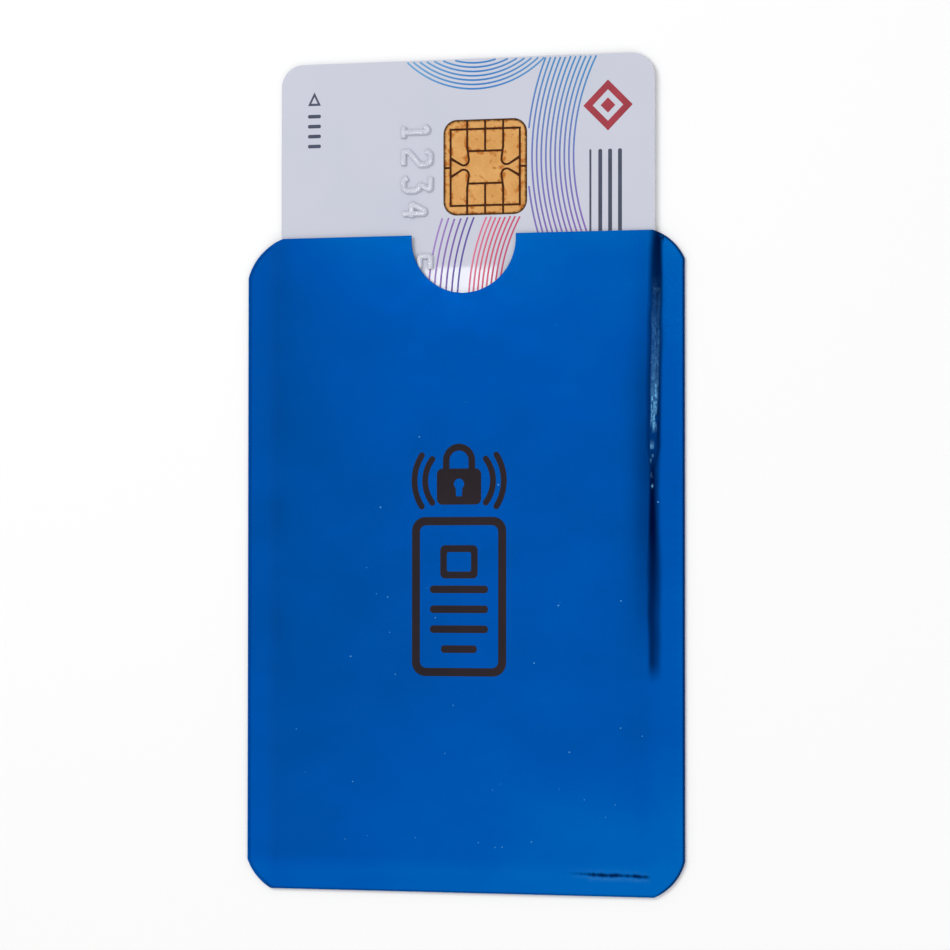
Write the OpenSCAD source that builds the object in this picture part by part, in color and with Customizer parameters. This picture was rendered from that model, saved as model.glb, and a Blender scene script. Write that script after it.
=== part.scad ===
// Card holder: a thin sleeve of laminated sheet, sealed on three sides, with a chip card in its pocket.
// The sleeve lies on its back. +X runs across it, +Y towards its mouth and +Z out of its front.
// The origin is the centre of the back face. All lengths are in millimetres.

/* [Card] */
// Length of the card along its long edges
card_l = 85.6; // [80:0.1:90]
// Width of the card along its short edges
card_w = 53.98; // [50:0.01:58]
// Radius of the card's four corners
card_corner_r = 3.18; // [2:0.01:5]
// Length of the card that stands out of the sleeve's mouth
card_out = 24.4; // [10:0.1:28]
// Thickness of each clear overlay
overlay_t = 0.05; // [0.03:0.01:0.08]
// Thickness of each printed core sheet
core_t = 0.15; // [0.12:0.01:0.2]
// Thickness of the inlay in the middle of the card
inlay_t = 0.36; // [0.34:0.01:0.5]

/* [Sleeve sheets] */
// Thickness of the blue outer film
film_t = 0.05; // [0.03:0.01:0.1]
// Thickness of the aluminium shielding foil
foil_t = 0.03; // [0.01:0.01:0.05]
// Thickness of the paper liner
liner_t = 0.12; // [0.08:0.01:0.2]
// Thickness of the adhesive between the front and back panels
glue_t = 0.03; // [0.01:0.01:0.05]

/* [Pocket] */
// Gap between the card and each face of the pocket, the embossed digits included
slide_gap = 0.05; // [0.03:0.01:0.2]
// Width of the sealed margins along the left and right edges
side_seam_w = 3.3; // [2.5:0.1:6]
// Width of the sealed margin along the bottom edge
bottom_seam_w = 3.1; // [2.5:0.1:6]
// Width of the slope up from the left margin
left_ramp_run = 2.3; // [1:0.05:3]
// Width of the slope up from the right margin, beside the card's edge
right_ramp_run = 1.05; // [0.8:0.05:3]
// Width of the slope up from the bottom margin
bottom_ramp_run = 1.2; // [0.8:0.05:3]
// Gap between the card's left edge and the slope
left_edge_gap = 0.37; // [0.1:0.01:1]
// Gap between the card's right edge and the slope
right_edge_gap = 0.12; // [0.1:0.01:1]
// Gap between the lower end of the card, when it is fully in, and the slope
bottom_edge_gap = 0.25; // [0.1:0.01:1]
// Depth of the card below the mouth when it is fully in
mouth_cover = 1.3; // [0.5:0.1:4]

/* [Outline] */
// Radius of the punch that rounds the sleeve's corners
corner_r = 7.5; // [6:0.1:10]
// Reach of the corner at the mouth's left, across and down
mouth_left_reach = [5.5, 5.4]; // [3:0.1:6]
// Reach of the corner at the mouth's right, across and down
mouth_right_reach = [4.2, 3.9]; // [3:0.1:6]
// Reach of the bottom left corner, across and up
bottom_left_reach = [3.5, 4.0]; // [3:0.1:6]
// Reach of the bottom right corner, across and up
bottom_right_reach = [4.3, 4.9]; // [3:0.1:6]
// Radius of the thumb notch in the front panel
notch_r = 7.55; // [5:0.05:10]
// Depth of the thumb notch below the mouth
notch_depth = 8.1; // [7.6:0.1:12]
// Distance of the thumb notch from the sleeve's middle, to the right
notch_shift = 0.45; // [-2:0.05:2]

/* [Embossed number] */
// Height of a digit
digit_h = 4.5; // [3:0.1:5]
// Width of a digit
digit_w = 2.4; // [2:0.1:3]
// Distance from one digit to the next
digit_pitch = 3.63; // [3.2:0.01:3.9]
// Width of the raised strokes
digit_stroke = 0.55; // [0.3:0.05:0.7]
// Distance of the first digit from the card's left edge
number_from_left = 8.6; // [4:0.1:10]
// Distance of the last digit from the card's right edge, at least
number_from_right = 7.5; // [4:0.1:10]
// Distance between the digits' heads and the chip module
number_to_module = 1.6; // [1:0.1:4]
// Height of the raised digits above the card's face
emboss_h = 0.4; // [0.2:0.01:0.48]
// Thickness of the silver foil on the digits
number_foil_t = 0.02; // [0.01:0.01:0.05]

/* [Chip module] */
// Length of the contact plate along the card
module_l = 13.2; // [12:0.1:14]
// Width of the contact plate across the card
module_w = 12; // [11:0.1:13]
// Corner radius of the contact plate
module_corner_r = 1.9; // [0.5:0.1:2.5]
// Distance of the contact plate from the card's left edge
module_from_left = 8.5; // [8:0.1:12]
// Distance of the contact plate from the card's top edge
module_from_top = 18.1; // [17:0.1:19]
// Gap round the module in its opening
module_gap = 0.05; // [0.02:0.01:0.1]
// Thickness of the gold contacts
contact_t = 0.035; // [0.02:0.005:0.05]
// Thickness of the adhesive frame under the module
adhesive_t = 0.05; // [0.02:0.01:0.06]
// Width of the grooves between the contacts
groove_w = 0.3; // [0.1:0.05:0.4]
// Distance of the frame groove from the plate's short ends
frame_end_inset = 1.3; // [1:0.1:1.6]
// Distance of the frame groove from the plate's long sides
frame_side_inset = 1; // [0.8:0.1:1.4]
// Width of each of the inner contacts beside the middle line
inner_pad_w = 2.6; // [2:0.05:2.8]
// Length of the middle contact along the card
centre_pad_l = 4.5; // [4:0.1:5]
// Distance of the corner contacts' heels from the middle line
corner_pad_end = 1.3; // [1.2:0.02:1.8]
// Width of the corner contacts' square heels at the frame groove
pad_heel_w = 0.5; // [0.4:0.1:1]
// Radius of the corner contacts' round tips
pad_tip_r = 0.75; // [0.6:0.05:1.1]
// How far the round tips reach in past the inner contacts' grooves
pad_tip_reach = 0.25; // [0:0.05:0.4]
// Distance of the corner contacts' round tips from the middle line
pad_tip_gap = 0.3; // [0.2:0.05:0.6]

/* [Chip] */
// Length of the silicon die along the card
die_l = 2.4; // [1.5:0.1:3]
// Width of the silicon die
die_w = 2; // [1.5:0.1:3]
// Thickness of the silicon die
die_t = 0.15; // [0.1:0.01:0.18]
// Width of the ledge that the module rests on, at its ends
ledge_end_w = 3.1; // [2.9:0.1:3.5]
// Width of the ledge that the module rests on, at its sides
ledge_side_w = 2.2; // [2:0.1:3]
// Thickness of the resin over the die
resin_t = 0.3; // [0.26:0.01:0.32]
// Corner radius of the resin
resin_corner_r = 2; // [1:0.1:2.5]
// Gap between the resin and its cavity
resin_gap = 0.05; // [0.03:0.01:0.05]
// Thickness of a bond wire
wire_t = 0.04; // [0.03:0.01:0.05]
// Length of a bond wire's loop
wire_reach = 1.4; // [1:0.1:1.6]
// Distance of a bond wire's foot from the die's edge
wire_inset = 0.35; // [0.1:0.05:0.6]
// Number of bond wires on each side of the die
wires_each_side = 4; // [2:1:5]

/* [Antenna] */
// Number of turns of the antenna
coil_turns = 4; // [2:1:5]
// Distance from one turn to the next
coil_pitch = 0.7; // [0.5:0.05:0.8]
// Width of the antenna's conductor
coil_w = 0.25; // [0.15:0.05:0.3]
// Thickness of the antenna's conductor
coil_t = 0.1; // [0.05:0.01:0.12]
// Distance of the outer turn from the card's edges
coil_from_edge = 3.6; // [2.5:0.1:4]
// Thickness of the bridge under the turns
bridge_t = 0.06; // [0.04:0.01:0.1]
// Distance between the antenna's two leads
lead_spacing = 6; // [4:0.1:8]
// Side of each square joint between antenna and module
terminal_w = 1.2; // [0.8:0.1:1.4]
// Distance of the joints' centres from the module's end
terminal_inset = 1.5; // [1.2:0.1:1.6]

/* [Back of the card] */
// Width of the magnetic stripe
stripe_w = 12.7; // [9:0.1:13]
// Distance of the magnetic stripe from the card's top edge
stripe_from_top = 4; // [3:0.1:5.5]
// Length of the signature panel
signature_l = 62; // [40:1:70]
// Width of the signature panel
signature_w = 8.5; // [6:0.1:10]
// Distance between the stripe and the signature panel
signature_gap = 4; // [2:0.1:6]
// Distance of the signature panel from the card's left edge
signature_from_left = 6; // [4:0.1:10]
// Thickness of the stripe and the signature panel, let into the overlay
inset_t = 0.02; // [0.01:0.005:0.025]

/* [Hidden] */
$fn = 64;
// How far a cutting shape runs past what it cuts
overrun = 1;

card_t = 2 * overlay_t + 2 * core_t + inlay_t;
wall_t = film_t + foil_t + liner_t;
pocket_h = card_t + emboss_h + 2 * slide_gap;
// Heights of the front panel's inner face over the margins and over the pocket
margin_z = wall_t + glue_t;
pocket_z = wall_t + pocket_h;
ramp_rise = pocket_z - margin_z;

// The slopes pass the upper edge of the card at this share of their run
card_edge_z = wall_t + slide_gap + card_t;
card_edge_share = (card_edge_z - margin_z) / ramp_rise;
left_room = left_ramp_run * card_edge_share + left_edge_gap;
right_room = right_ramp_run * card_edge_share + right_edge_gap;
bottom_room = bottom_ramp_run * card_edge_share + bottom_edge_gap;

sleeve_w = card_w + left_room + right_room + 2 * side_seam_w;
sleeve_l = bottom_seam_w + bottom_room + card_l + mouth_cover;
mouth_y = sleeve_l / 2;
// Where the pocket's slopes start, on the inner face
left_foot = side_seam_w - sleeve_w / 2;
right_foot = sleeve_w / 2 - side_seam_w;
bottom_foot = bottom_seam_w - mouth_y;

// Place of the card's own frame: its left short edge is outermost and its bottom long edge on the left
card_corner = [left_foot + left_room, mouth_y + card_out, wall_t + slide_gap];
back_core_z = overlay_t;
inlay_z = back_core_z + core_t;
front_core_z = inlay_z + inlay_t;
front_overlay_z = front_core_z + core_t;

// The module fills the opening through the front overlay and the front core
module_centre = [module_from_left + module_l / 2, card_w - module_from_top - module_w / 2];
resin_l = module_l - 2 * ledge_end_w;
resin_w = module_w - 2 * ledge_side_w;
substrate_z = front_core_z + adhesive_t;
contact_z = card_t - contact_t;
frame_x = module_l / 2 - frame_end_inset;
frame_y = module_w / 2 - frame_side_inset;
pad_tip_x = pad_tip_gap + pad_tip_r;
pad_tip_y = inner_pad_w - pad_tip_reach + pad_tip_r;
pad_neck_x = (centre_pad_l + groove_w) / 2;

// The antenna lies in the top of the inlay, and its bridge in the bottom
coil_z = front_core_z - coil_t;
inner_inset = coil_from_edge + coil_turns * coil_pitch;
lead_y_in = module_centre[1] + lead_spacing / 2;
lead_y_out = module_centre[1] - lead_spacing / 2;
terminal_x = module_from_left + terminal_inset;

// The number runs beside the module, as far along the card as whole digits fit
number_y = module_centre[1] - module_w / 2 - number_to_module - digit_h;
number_places = floor((card_l - number_from_left - number_from_right) / digit_pitch);

stripe_y = card_w - stripe_from_top - stripe_w;
signature_y = stripe_y - signature_gap - signature_w;

// Strokes of the digits 0 to 9, as shares of a digit's width and height
digit_shares = [
    [[[0.2, 0], [0.8, 0], [1, 0.15], [1, 0.85], [0.8, 1], [0.2, 1], [0, 0.85], [0, 0.15], [0.2, 0]]],
    [[[0.1, 0.8], [0.5, 1], [0.5, 0]], [[0.1, 0], [0.9, 0]]],
    [[[0, 0.85], [0.2, 1], [0.8, 1], [1, 0.85], [1, 0.6], [0, 0.2], [0, 0], [1, 0]]],
    [[[0, 1], [1, 1], [0.5, 0.6], [0.8, 0.6], [1, 0.42], [1, 0.15], [0.8, 0], [0.2, 0], [0, 0.15]]],
    [[[0.75, 0], [0.75, 1], [0, 0.3], [1, 0.3]]],
    [[[1, 1], [0.05, 1], [0.05, 0.6], [0.8, 0.6], [1, 0.42], [1, 0.15], [0.8, 0], [0, 0]]],
    [[[0.9, 1], [0.3, 1], [0, 0.75], [0, 0.15], [0.2, 0], [0.8, 0], [1, 0.15], [1, 0.4], [0.8, 0.55], [0, 0.55]]],
    [[[0, 1], [1, 1], [0.4, 0.4], [0.4, 0]]],
    [[[0.2, 0], [0.8, 0], [1, 0.15], [1, 0.4], [0.8, 0.55], [1, 0.7], [1, 0.85], [0.8, 1], [0.2, 1],
      [0, 0.85], [0, 0.7], [0.2, 0.55], [0, 0.4], [0, 0.15], [0.2, 0]], [[0.2, 0.55], [0.8, 0.55]]],
    [[[0.1, 0], [0.7, 0], [1, 0.25], [1, 0.85], [0.8, 1], [0.2, 1], [0, 0.85], [0, 0.6], [0.2, 0.45], [1, 0.45]]],
];
// Digits in a group of the number, and the place that each group takes with the space after it
group_size = 4;
group_places = group_size + 1;

// How far a slope moves outwards when the sheet on it is t thick
function ramp_shift(run, t) = t * tan(atan2(ramp_rise, run) / 2);

// Corners of the antenna's rectangular spiral, from its outer end to its inner one
function coil_corners(k) =
    let (inset = coil_from_edge + k * coil_pitch, next = inset + coil_pitch)
    [[inset, inset], [card_l - inset, inset], [card_l - inset, card_w - inset], [next, card_w - inset]];
coil_path = [
    [coil_from_edge, lead_y_out],
    for (k = [0:coil_turns - 1]) each coil_corners(k),
    [inner_inset, lead_y_in],
    [terminal_x, lead_y_in],
];

// Rectangle with round corners, its centre at the origin
module round_rect(l, w, r) {
    square([l - 2 * r, w], center = true);
    square([l, w - 2 * r], center = true);
    for (x = [-1, 1], y = [-1, 1])
        translate([x * (l / 2 - r), y * (w / 2 - r)]) circle(r = r);
}

// What the corner punch takes off a corner at the origin, for a body that lies in +X and +Y
module corner_punch(reach) {
    chord = norm(reach);
    depth = sqrt(corner_r * corner_r - chord * chord / 4);
    centre = reach / 2 + depth * [reach[1], reach[0]] / chord;
    difference() {
        polygon([
            [reach[0], 0], [reach[0], -overrun], [-overrun, -overrun], [-overrun, reach[1]], [0, reach[1]],
        ]);
        translate(centre) circle(r = corner_r);
    }
}

// Outline of both panels
module panel_2d() {
    difference() {
        square([sleeve_w, sleeve_l], center = true);
        translate([-sleeve_w / 2, mouth_y]) scale([1, -1]) corner_punch(mouth_left_reach);
        translate([sleeve_w / 2, mouth_y]) scale([-1, -1]) corner_punch(mouth_right_reach);
        translate([-sleeve_w / 2, -mouth_y]) corner_punch(bottom_left_reach);
        translate([sleeve_w / 2, -mouth_y]) scale([-1, 1]) corner_punch(bottom_right_reach);
    }
}

// Opening of the thumb notch
module notch_2d() {
    translate([notch_shift, mouth_y - notch_depth + notch_r]) {
        circle(r = notch_r);
        translate([-notch_r, 0]) square([2 * notch_r, notch_depth]);
    }
}

// Flat sheet of the back panel from height z
module back_sheet(z, t) {
    translate([0, 0, z]) linear_extrude(t) panel_2d();
}

// Space under the front panel once sheets t thick lie on its inner face, down to z = low
module under_front(t, low, wide) {
    left = left_foot - ramp_shift(left_ramp_run, t);
    right = right_foot + ramp_shift(right_ramp_run, t);
    bottom = bottom_foot - ramp_shift(bottom_ramp_run, t);
    intersection() {
        translate([0, mouth_y + wide, 0]) rotate([90, 0, 0]) linear_extrude(sleeve_l + 2 * wide)
            polygon([
                [left, low], [left, margin_z + t], [left + left_ramp_run, pocket_z + t],
                [right - right_ramp_run, pocket_z + t], [right, margin_z + t], [right, low],
            ]);
        translate([-sleeve_w / 2, 0, 0]) rotate([90, 0, 90]) linear_extrude(sleeve_w)
            polygon([
                [bottom, low], [bottom, margin_z + t], [bottom + bottom_ramp_run, pocket_z + t],
                [mouth_y + wide, pocket_z + t], [mouth_y + wide, low],
            ]);
    }
    translate([-sleeve_w / 2 - wide, -mouth_y - wide, low])
        cube([sleeve_w + 2 * wide, sleeve_l + 2 * wide, margin_z + t - low]);
}

// Sheet of the front panel, from t_in to t_out over its inner face
module front_sheet(t_in, t_out) {
    intersection() {
        difference() {
            under_front(t_out, 0, overrun);
            under_front(t_in, -overrun, 2 * overrun);
        }
        linear_extrude(pocket_z + wall_t + overrun)
            difference() {
                panel_2d();
                notch_2d();
            }
    }
}

// Adhesive strip between the panels, within a rectangle from corner a to corner b
module seam(a, b) {
    translate([0, 0, wall_t]) linear_extrude(glue_t)
        intersection() {
            panel_2d();
            translate(a) square(b - a);
        }
}

module back_film() {
    color("royalblue") back_sheet(0, film_t);
}

module back_foil() {
    color("silver") back_sheet(film_t, foil_t);
}

module back_liner() {
    color("white") back_sheet(film_t + foil_t, liner_t);
}

module left_seam() {
    color("wheat") seam([-sleeve_w / 2, -mouth_y], [left_foot, mouth_y]);
}

module right_seam() {
    color("wheat") seam([right_foot, -mouth_y], [sleeve_w / 2, mouth_y]);
}

module bottom_seam() {
    color("wheat") seam([left_foot, -mouth_y], [right_foot, bottom_foot]);
}

module front_liner() {
    color("white") front_sheet(0, liner_t);
}

module front_foil() {
    color("silver") front_sheet(liner_t, liner_t + foil_t);
}

module front_film() {
    color("royalblue") front_sheet(liner_t + foil_t, wall_t);
}

// Places children that are drawn in the card's own frame, at height z in the card:
// x runs from the card's left edge along it, y up from its bottom edge
module on_card(z) {
    translate([card_corner[0], card_corner[1], card_corner[2] + z]) rotate(-90) children();
}

module card_2d() {
    translate([card_l / 2, card_w / 2]) round_rect(card_l, card_w, card_corner_r);
}

// Outline of the module, grown by grow on every side
module module_2d(grow) {
    translate(module_centre)
        round_rect(module_l + 2 * grow, module_w + 2 * grow, module_corner_r + grow);
}

// Outline of the resin, grown by grow on every side
module resin_2d(grow) {
    translate(module_centre)
        round_rect(resin_l + 2 * grow, resin_w + 2 * grow, resin_corner_r + grow);
}

// Straight conductor or stroke of width w from a to b, with pointed ends that reach half a width past both
module stroke(a, b, w) {
    length = norm(b - a);
    translate(a) rotate(atan2(b[1] - a[1], b[0] - a[0]))
        polygon([[0, w / 2], [-w / 2, 0], [0, -w / 2], [length, -w / 2], [length + w / 2, 0], [length, w / 2]]);
}

// Straight bar of width w from a to b, with square ends that reach half a width past both
module bar(a, b, w) {
    length = norm(b - a);
    translate(a) rotate(atan2(b[1] - a[1], b[0] - a[0]))
        translate([-w / 2, -w / 2]) square([length + w, w]);
}

module digit_2d(d) {
    size = [digit_w - digit_stroke, digit_h - digit_stroke];
    translate([digit_stroke / 2, digit_stroke / 2])
        for (line = digit_shares[d], i = [1:len(line) - 1])
            stroke([line[i - 1][0] * size[0], line[i - 1][1] * size[1]],
                   [line[i][0] * size[0], line[i][1] * size[1]], digit_stroke);
}

// The plain number 1234 5678 9012 and so on
module number_2d() {
    for (i = [0:number_places - 1])
        if (i % group_places < group_size)
            translate([number_from_left + i * digit_pitch, number_y])
                digit_2d((i + 1 - floor(i / group_places)) % len(digit_shares));
}

module stripe_2d() {
    translate([0, stripe_y]) square([card_l, stripe_w]);
}

module signature_2d() {
    translate([signature_from_left, signature_y]) square([signature_l, signature_w]);
}

module card_back_overlay() {
    color("gainsboro") on_card(0) difference() {
        linear_extrude(overlay_t) card_2d();
        translate([0, 0, -overrun]) linear_extrude(overrun + inset_t) {
            stripe_2d();
            signature_2d();
        }
    }
}

module magnetic_stripe() {
    color("dimgray") on_card(0) linear_extrude(inset_t) stripe_2d();
}

module signature_panel() {
    color("white") on_card(0) linear_extrude(inset_t) signature_2d();
}

module card_back_core() {
    color("lightgray") on_card(back_core_z) linear_extrude(core_t) card_2d();
}

module card_inlay() {
    cavity_depth = resin_t - adhesive_t + resin_gap;
    color("whitesmoke") on_card(inlay_z) difference() {
        linear_extrude(inlay_t) card_2d();
        translate([0, 0, inlay_t - cavity_depth]) linear_extrude(cavity_depth + overrun) resin_2d(resin_gap);
        translate([0, 0, inlay_t - coil_t]) linear_extrude(coil_t + overrun) coil_2d();
        translate([0, 0, -inlay_z]) bridge();
    }
}

module card_front_core() {
    color("lightgray") on_card(front_core_z) linear_extrude(core_t)
        difference() {
            card_2d();
            module_2d(module_gap);
        }
}

module card_front_overlay() {
    color("gainsboro") on_card(front_overlay_z) {
        linear_extrude(overlay_t)
            difference() {
                card_2d();
                module_2d(module_gap);
            }
        linear_extrude(overlay_t + emboss_h - number_foil_t) number_2d();
    }
}

module number_foil() {
    color("silver") on_card(card_t + emboss_h - number_foil_t) linear_extrude(number_foil_t) number_2d();
}

// One corner contact in the quarter with positive x and y, grown by grow
module corner_pad_2d(grow) {
    heel = pad_heel_w + 2 * grow;
    neck = [pad_neck_x - grow, inner_pad_w - grow];
    translate(neck) square([frame_x + grow, frame_y + grow] - neck);
    hull() {
        translate([pad_tip_x, pad_tip_y]) circle(r = pad_tip_r + grow);
        translate(neck) square([heel, frame_y + grow - neck[1]]);
        translate([corner_pad_end - grow, frame_y + grow - heel]) square(heel);
    }
}

// Grooves that divide the contact plate, its centre at the origin
module contact_grooves_2d() {
    half = groove_w / 2;
    difference() {
        square([2 * (frame_x + half), 2 * (frame_y + half)], center = true);
        square([2 * (frame_x - half), 2 * (frame_y - half)], center = true);
    }
    for (x = [-1, 1], y = [-1, 1])
        scale([x, y]) {
            difference() {
                corner_pad_2d(half);
                corner_pad_2d(-half);
            }
            translate([frame_x, inner_pad_w - half]) square([frame_end_inset + overrun, groove_w]);
        }
    for (x = [-1, 1])
        scale([x, 1]) {
            translate([centre_pad_l / 2 - half, -inner_pad_w]) square([groove_w, 2 * inner_pad_w]);
            translate([centre_pad_l / 2, -half]) square([module_l, groove_w]);
        }
    for (y = [-1, 1])
        scale([1, y]) translate([-half, frame_y]) square([groove_w, frame_side_inset + overrun]);
}

module chip_contacts() {
    color("goldenrod") on_card(contact_z) linear_extrude(contact_t)
        difference() {
            module_2d(0);
            translate(module_centre) contact_grooves_2d();
        }
}

module chip_substrate() {
    color("darkolivegreen") on_card(substrate_z) linear_extrude(contact_z - substrate_z) module_2d(0);
}

module chip_adhesive() {
    color("khaki") on_card(front_core_z) linear_extrude(adhesive_t)
        difference() {
            module_2d(0);
            resin_2d(resin_gap);
            terminals_2d();
        }
}

// Bond wires: each leaves the die's lower face, loops outwards and comes up to the substrate
module wires() {
    step = die_w / wires_each_side;
    start = die_l / 2 - wire_inset;
    end = start + wire_reach;
    crown = die_t + wire_t;
    for (side = [-1, 1], i = [0:wires_each_side - 1]) {
        place = (i - (wires_each_side - 1) / 2) * step;
        translate([module_centre[0], module_centre[1] + place + wire_t / 2, substrate_z])
            rotate([90, 0, 0]) scale([side, 1]) linear_extrude(wire_t)
                polygon([
                    [start, -die_t], [start, -crown - wire_t], [end, -crown - wire_t], [end, 0],
                    [end - wire_t, 0], [end - wire_t, -crown], [start + wire_t, -crown], [start + wire_t, -die_t],
                ]);
    }
}

module die() {
    translate([module_centre[0] - die_l / 2, module_centre[1] - die_w / 2, substrate_z - die_t])
        cube([die_l, die_w, die_t]);
}

module chip_die() {
    color("slategray") on_card(0) die();
}

module bond_wires() {
    color("gold") on_card(0) wires();
}

module chip_encapsulant() {
    color("black") on_card(0) difference() {
        translate([0, 0, substrate_z - resin_t]) linear_extrude(resin_t) resin_2d(0);
        die();
        wires();
    }
}

module coil_2d() {
    for (i = [1:len(coil_path) - 1]) bar(coil_path[i - 1], coil_path[i], coil_w);
}

module terminals_2d() {
    for (y = [lead_y_in, lead_y_out]) translate([terminal_x, y]) square(terminal_w, center = true);
}

// Bridge from the antenna's outer end, down, under the turns, up again and on to the module
module bridge() {
    outer = [coil_from_edge, lead_y_out];
    inner = [inner_inset + coil_pitch, lead_y_out];
    translate([0, 0, inlay_z]) linear_extrude(bridge_t) bar(outer, inner, coil_w);
    translate([0, 0, inlay_z]) linear_extrude(inlay_t - coil_t) bar(outer, outer, coil_w);
    translate([0, 0, inlay_z]) linear_extrude(inlay_t) bar(inner, inner, coil_w);
    translate([0, 0, coil_z]) linear_extrude(coil_t) bar(inner, [terminal_x, lead_y_out], coil_w);
}

module antenna_coil() {
    color("chocolate") on_card(coil_z) linear_extrude(coil_t) coil_2d();
}

module antenna_bridge() {
    color("peru") on_card(0) bridge();
}

module antenna_terminals() {
    color("sienna") on_card(front_core_z) linear_extrude(adhesive_t) terminals_2d();
}

back_film();
back_foil();
back_liner();
left_seam();
right_seam();
bottom_seam();
front_liner();
front_foil();
front_film();
card_back_overlay();
magnetic_stripe();
signature_panel();
card_back_core();
card_inlay();
card_front_core();
card_front_overlay();
number_foil();
chip_contacts();
chip_substrate();
chip_adhesive();
chip_die();
bond_wires();
chip_encapsulant();
antenna_coil();
antenna_bridge();
antenna_terminals();
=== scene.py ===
"""Looks of a shielded card sleeve with a chip card part-way in its pocket.

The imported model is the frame, and gives every piece its place. The three sheets of the front panel, the
card's face, its embossed number and all print are modelled here. Every piece has the finish of its real
material. Lengths are in millimetres until they go into a mesh.
"""

import logging
import math
from collections.abc import Callable, Sequence
from dataclasses import dataclass, field, replace
from enum import Enum

import bmesh
import bpy
import numpy as np
from mathutils import Matrix, Vector
from mathutils.geometry import delaunay_2d_cdt


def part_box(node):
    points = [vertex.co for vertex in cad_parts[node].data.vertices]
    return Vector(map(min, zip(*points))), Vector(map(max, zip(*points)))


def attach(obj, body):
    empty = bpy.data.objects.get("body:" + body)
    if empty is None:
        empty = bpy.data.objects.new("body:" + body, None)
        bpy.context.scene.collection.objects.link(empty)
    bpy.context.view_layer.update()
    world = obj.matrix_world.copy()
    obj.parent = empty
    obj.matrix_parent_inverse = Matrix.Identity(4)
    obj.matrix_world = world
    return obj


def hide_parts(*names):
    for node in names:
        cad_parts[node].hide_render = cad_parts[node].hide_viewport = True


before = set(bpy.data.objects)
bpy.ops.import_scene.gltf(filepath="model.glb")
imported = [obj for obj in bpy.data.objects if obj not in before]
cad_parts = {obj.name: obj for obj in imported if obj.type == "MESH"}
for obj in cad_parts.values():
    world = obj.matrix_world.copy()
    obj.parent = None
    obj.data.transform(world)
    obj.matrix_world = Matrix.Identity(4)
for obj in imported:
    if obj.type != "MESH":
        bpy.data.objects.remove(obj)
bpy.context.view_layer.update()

LOG = logging.getLogger("card_sleeve")
MM = 0.001
CM2_PER_M2 = 1e4
# Where most values of a noise lie
NOISE_LOW, NOISE_HIGH = 0.3, 0.7
MATH = "ShaderNodeMath"
VECTOR_MATH = "ShaderNodeVectorMath"
RANGE = "ShaderNodeMapRange"
RAMP = "ShaderNodeValToRGB"

Tree = bpy.types.NodeTree
Node = bpy.types.Node
Socket = bpy.types.NodeSocket
Piece = bpy.types.Object
Points = np.ndarray
Pair = tuple[float, float]
Triple = tuple[float, float, float]
Floats = tuple[float, ...]
Heights = Callable[[Points, Points], Points]
# Stations along an axis, and the value at each
Profile = tuple[Floats, Floats]
# Points and faces of a closed body
Shell = tuple[Points, list[list[int]]]
# Share that a colour covers, and its hex code
Layer = tuple[Node | Socket, str]


class Body(Enum):
    """The two bodies of the frame."""

    SLEEVE = "sleeve"
    CARD = "card"


class Sheet(Enum):
    """The sheets of a sleeve panel, from the outside in."""

    FILM = "film"
    FOIL = "foil"
    LINER = "liner"


def linear_colour(code: str) -> tuple[float, float, float, float]:
    """Turn an sRGB colour into the linear one that a shader takes.

    Args:
        code: Hex colour, such as "#0054B0".

    Returns:
        Linear red, green, blue and an alpha of one.
    """
    shares = [int(code[i:i + 2], 16) / 255 for i in (1, 3, 5)]
    linear = [s / 12.92 if s <= 0.04045 else ((s + 0.055) / 1.055) ** 2.4 for s in shares]
    return linear[0], linear[1], linear[2], 1.0


def add_node(
    tree: Tree,
    kind: str,
    inputs: dict | Sequence = (),
    stops: Sequence[tuple[float, str]] = (),
    **settings: object,
) -> Node:
    """Add a node with its settings and links.

    Args:
        tree: Node tree that gets the node.
        kind: Type name of the node.
        inputs: What goes into its sockets, by their names or in their order: numbers, sockets, or nodes for
            their first output.
        stops: Places and hex colours of a colour ramp.
        settings: Properties of the node.

    Returns:
        The new node.
    """
    node = tree.nodes.new(kind)
    for name, value in settings.items():
        setattr(node, name, value)
    for key, value in inputs.items() if isinstance(inputs, dict) else enumerate(inputs):
        source = value.outputs[0] if isinstance(value, Node) else value
        if isinstance(source, Socket):
            tree.links.new(source, node.inputs[key])
        else:
            node.inputs[key].default_value = source
    for index, (place, colour) in enumerate(stops):
        elements = node.color_ramp.elements
        element = elements[index] if index < len(elements) else elements.new(place)
        element.position = place
        element.color = linear_colour(colour)
    return node


def chain(tree: Tree, kind: str, value: object, *steps: tuple) -> Node:
    """Run a value through nodes of one kind, one after the other.

    Args:
        tree: Node tree that gets them.
        kind: Their type name.
        value: What goes into the first.
        steps: For each node, its operation and what else goes into it.

    Returns:
        The last node.
    """
    for operation, *others in steps:
        value = add_node(tree, kind, (value, *others), operation=operation)
    return value


def emptied(owner: bpy.types.Material | bpy.types.World) -> Tree:
    """Give a new material or world a node tree with nothing in it.

    Args:
        owner: The material or world.

    Returns:
        Its tree.
    """
    owner.use_nodes = True
    owner.node_tree.nodes.clear()
    return owner.node_tree


def add_object(name: str, data: bpy.types.ID) -> Piece:
    """Put a new object into the scene, at the origin.

    Args:
        name: Its name.
        data: Its mesh, lamp or camera.

    Returns:
        The object.
    """
    piece = bpy.data.objects.new(name, data)
    bpy.context.scene.collection.objects.link(piece)
    return piece


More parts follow.
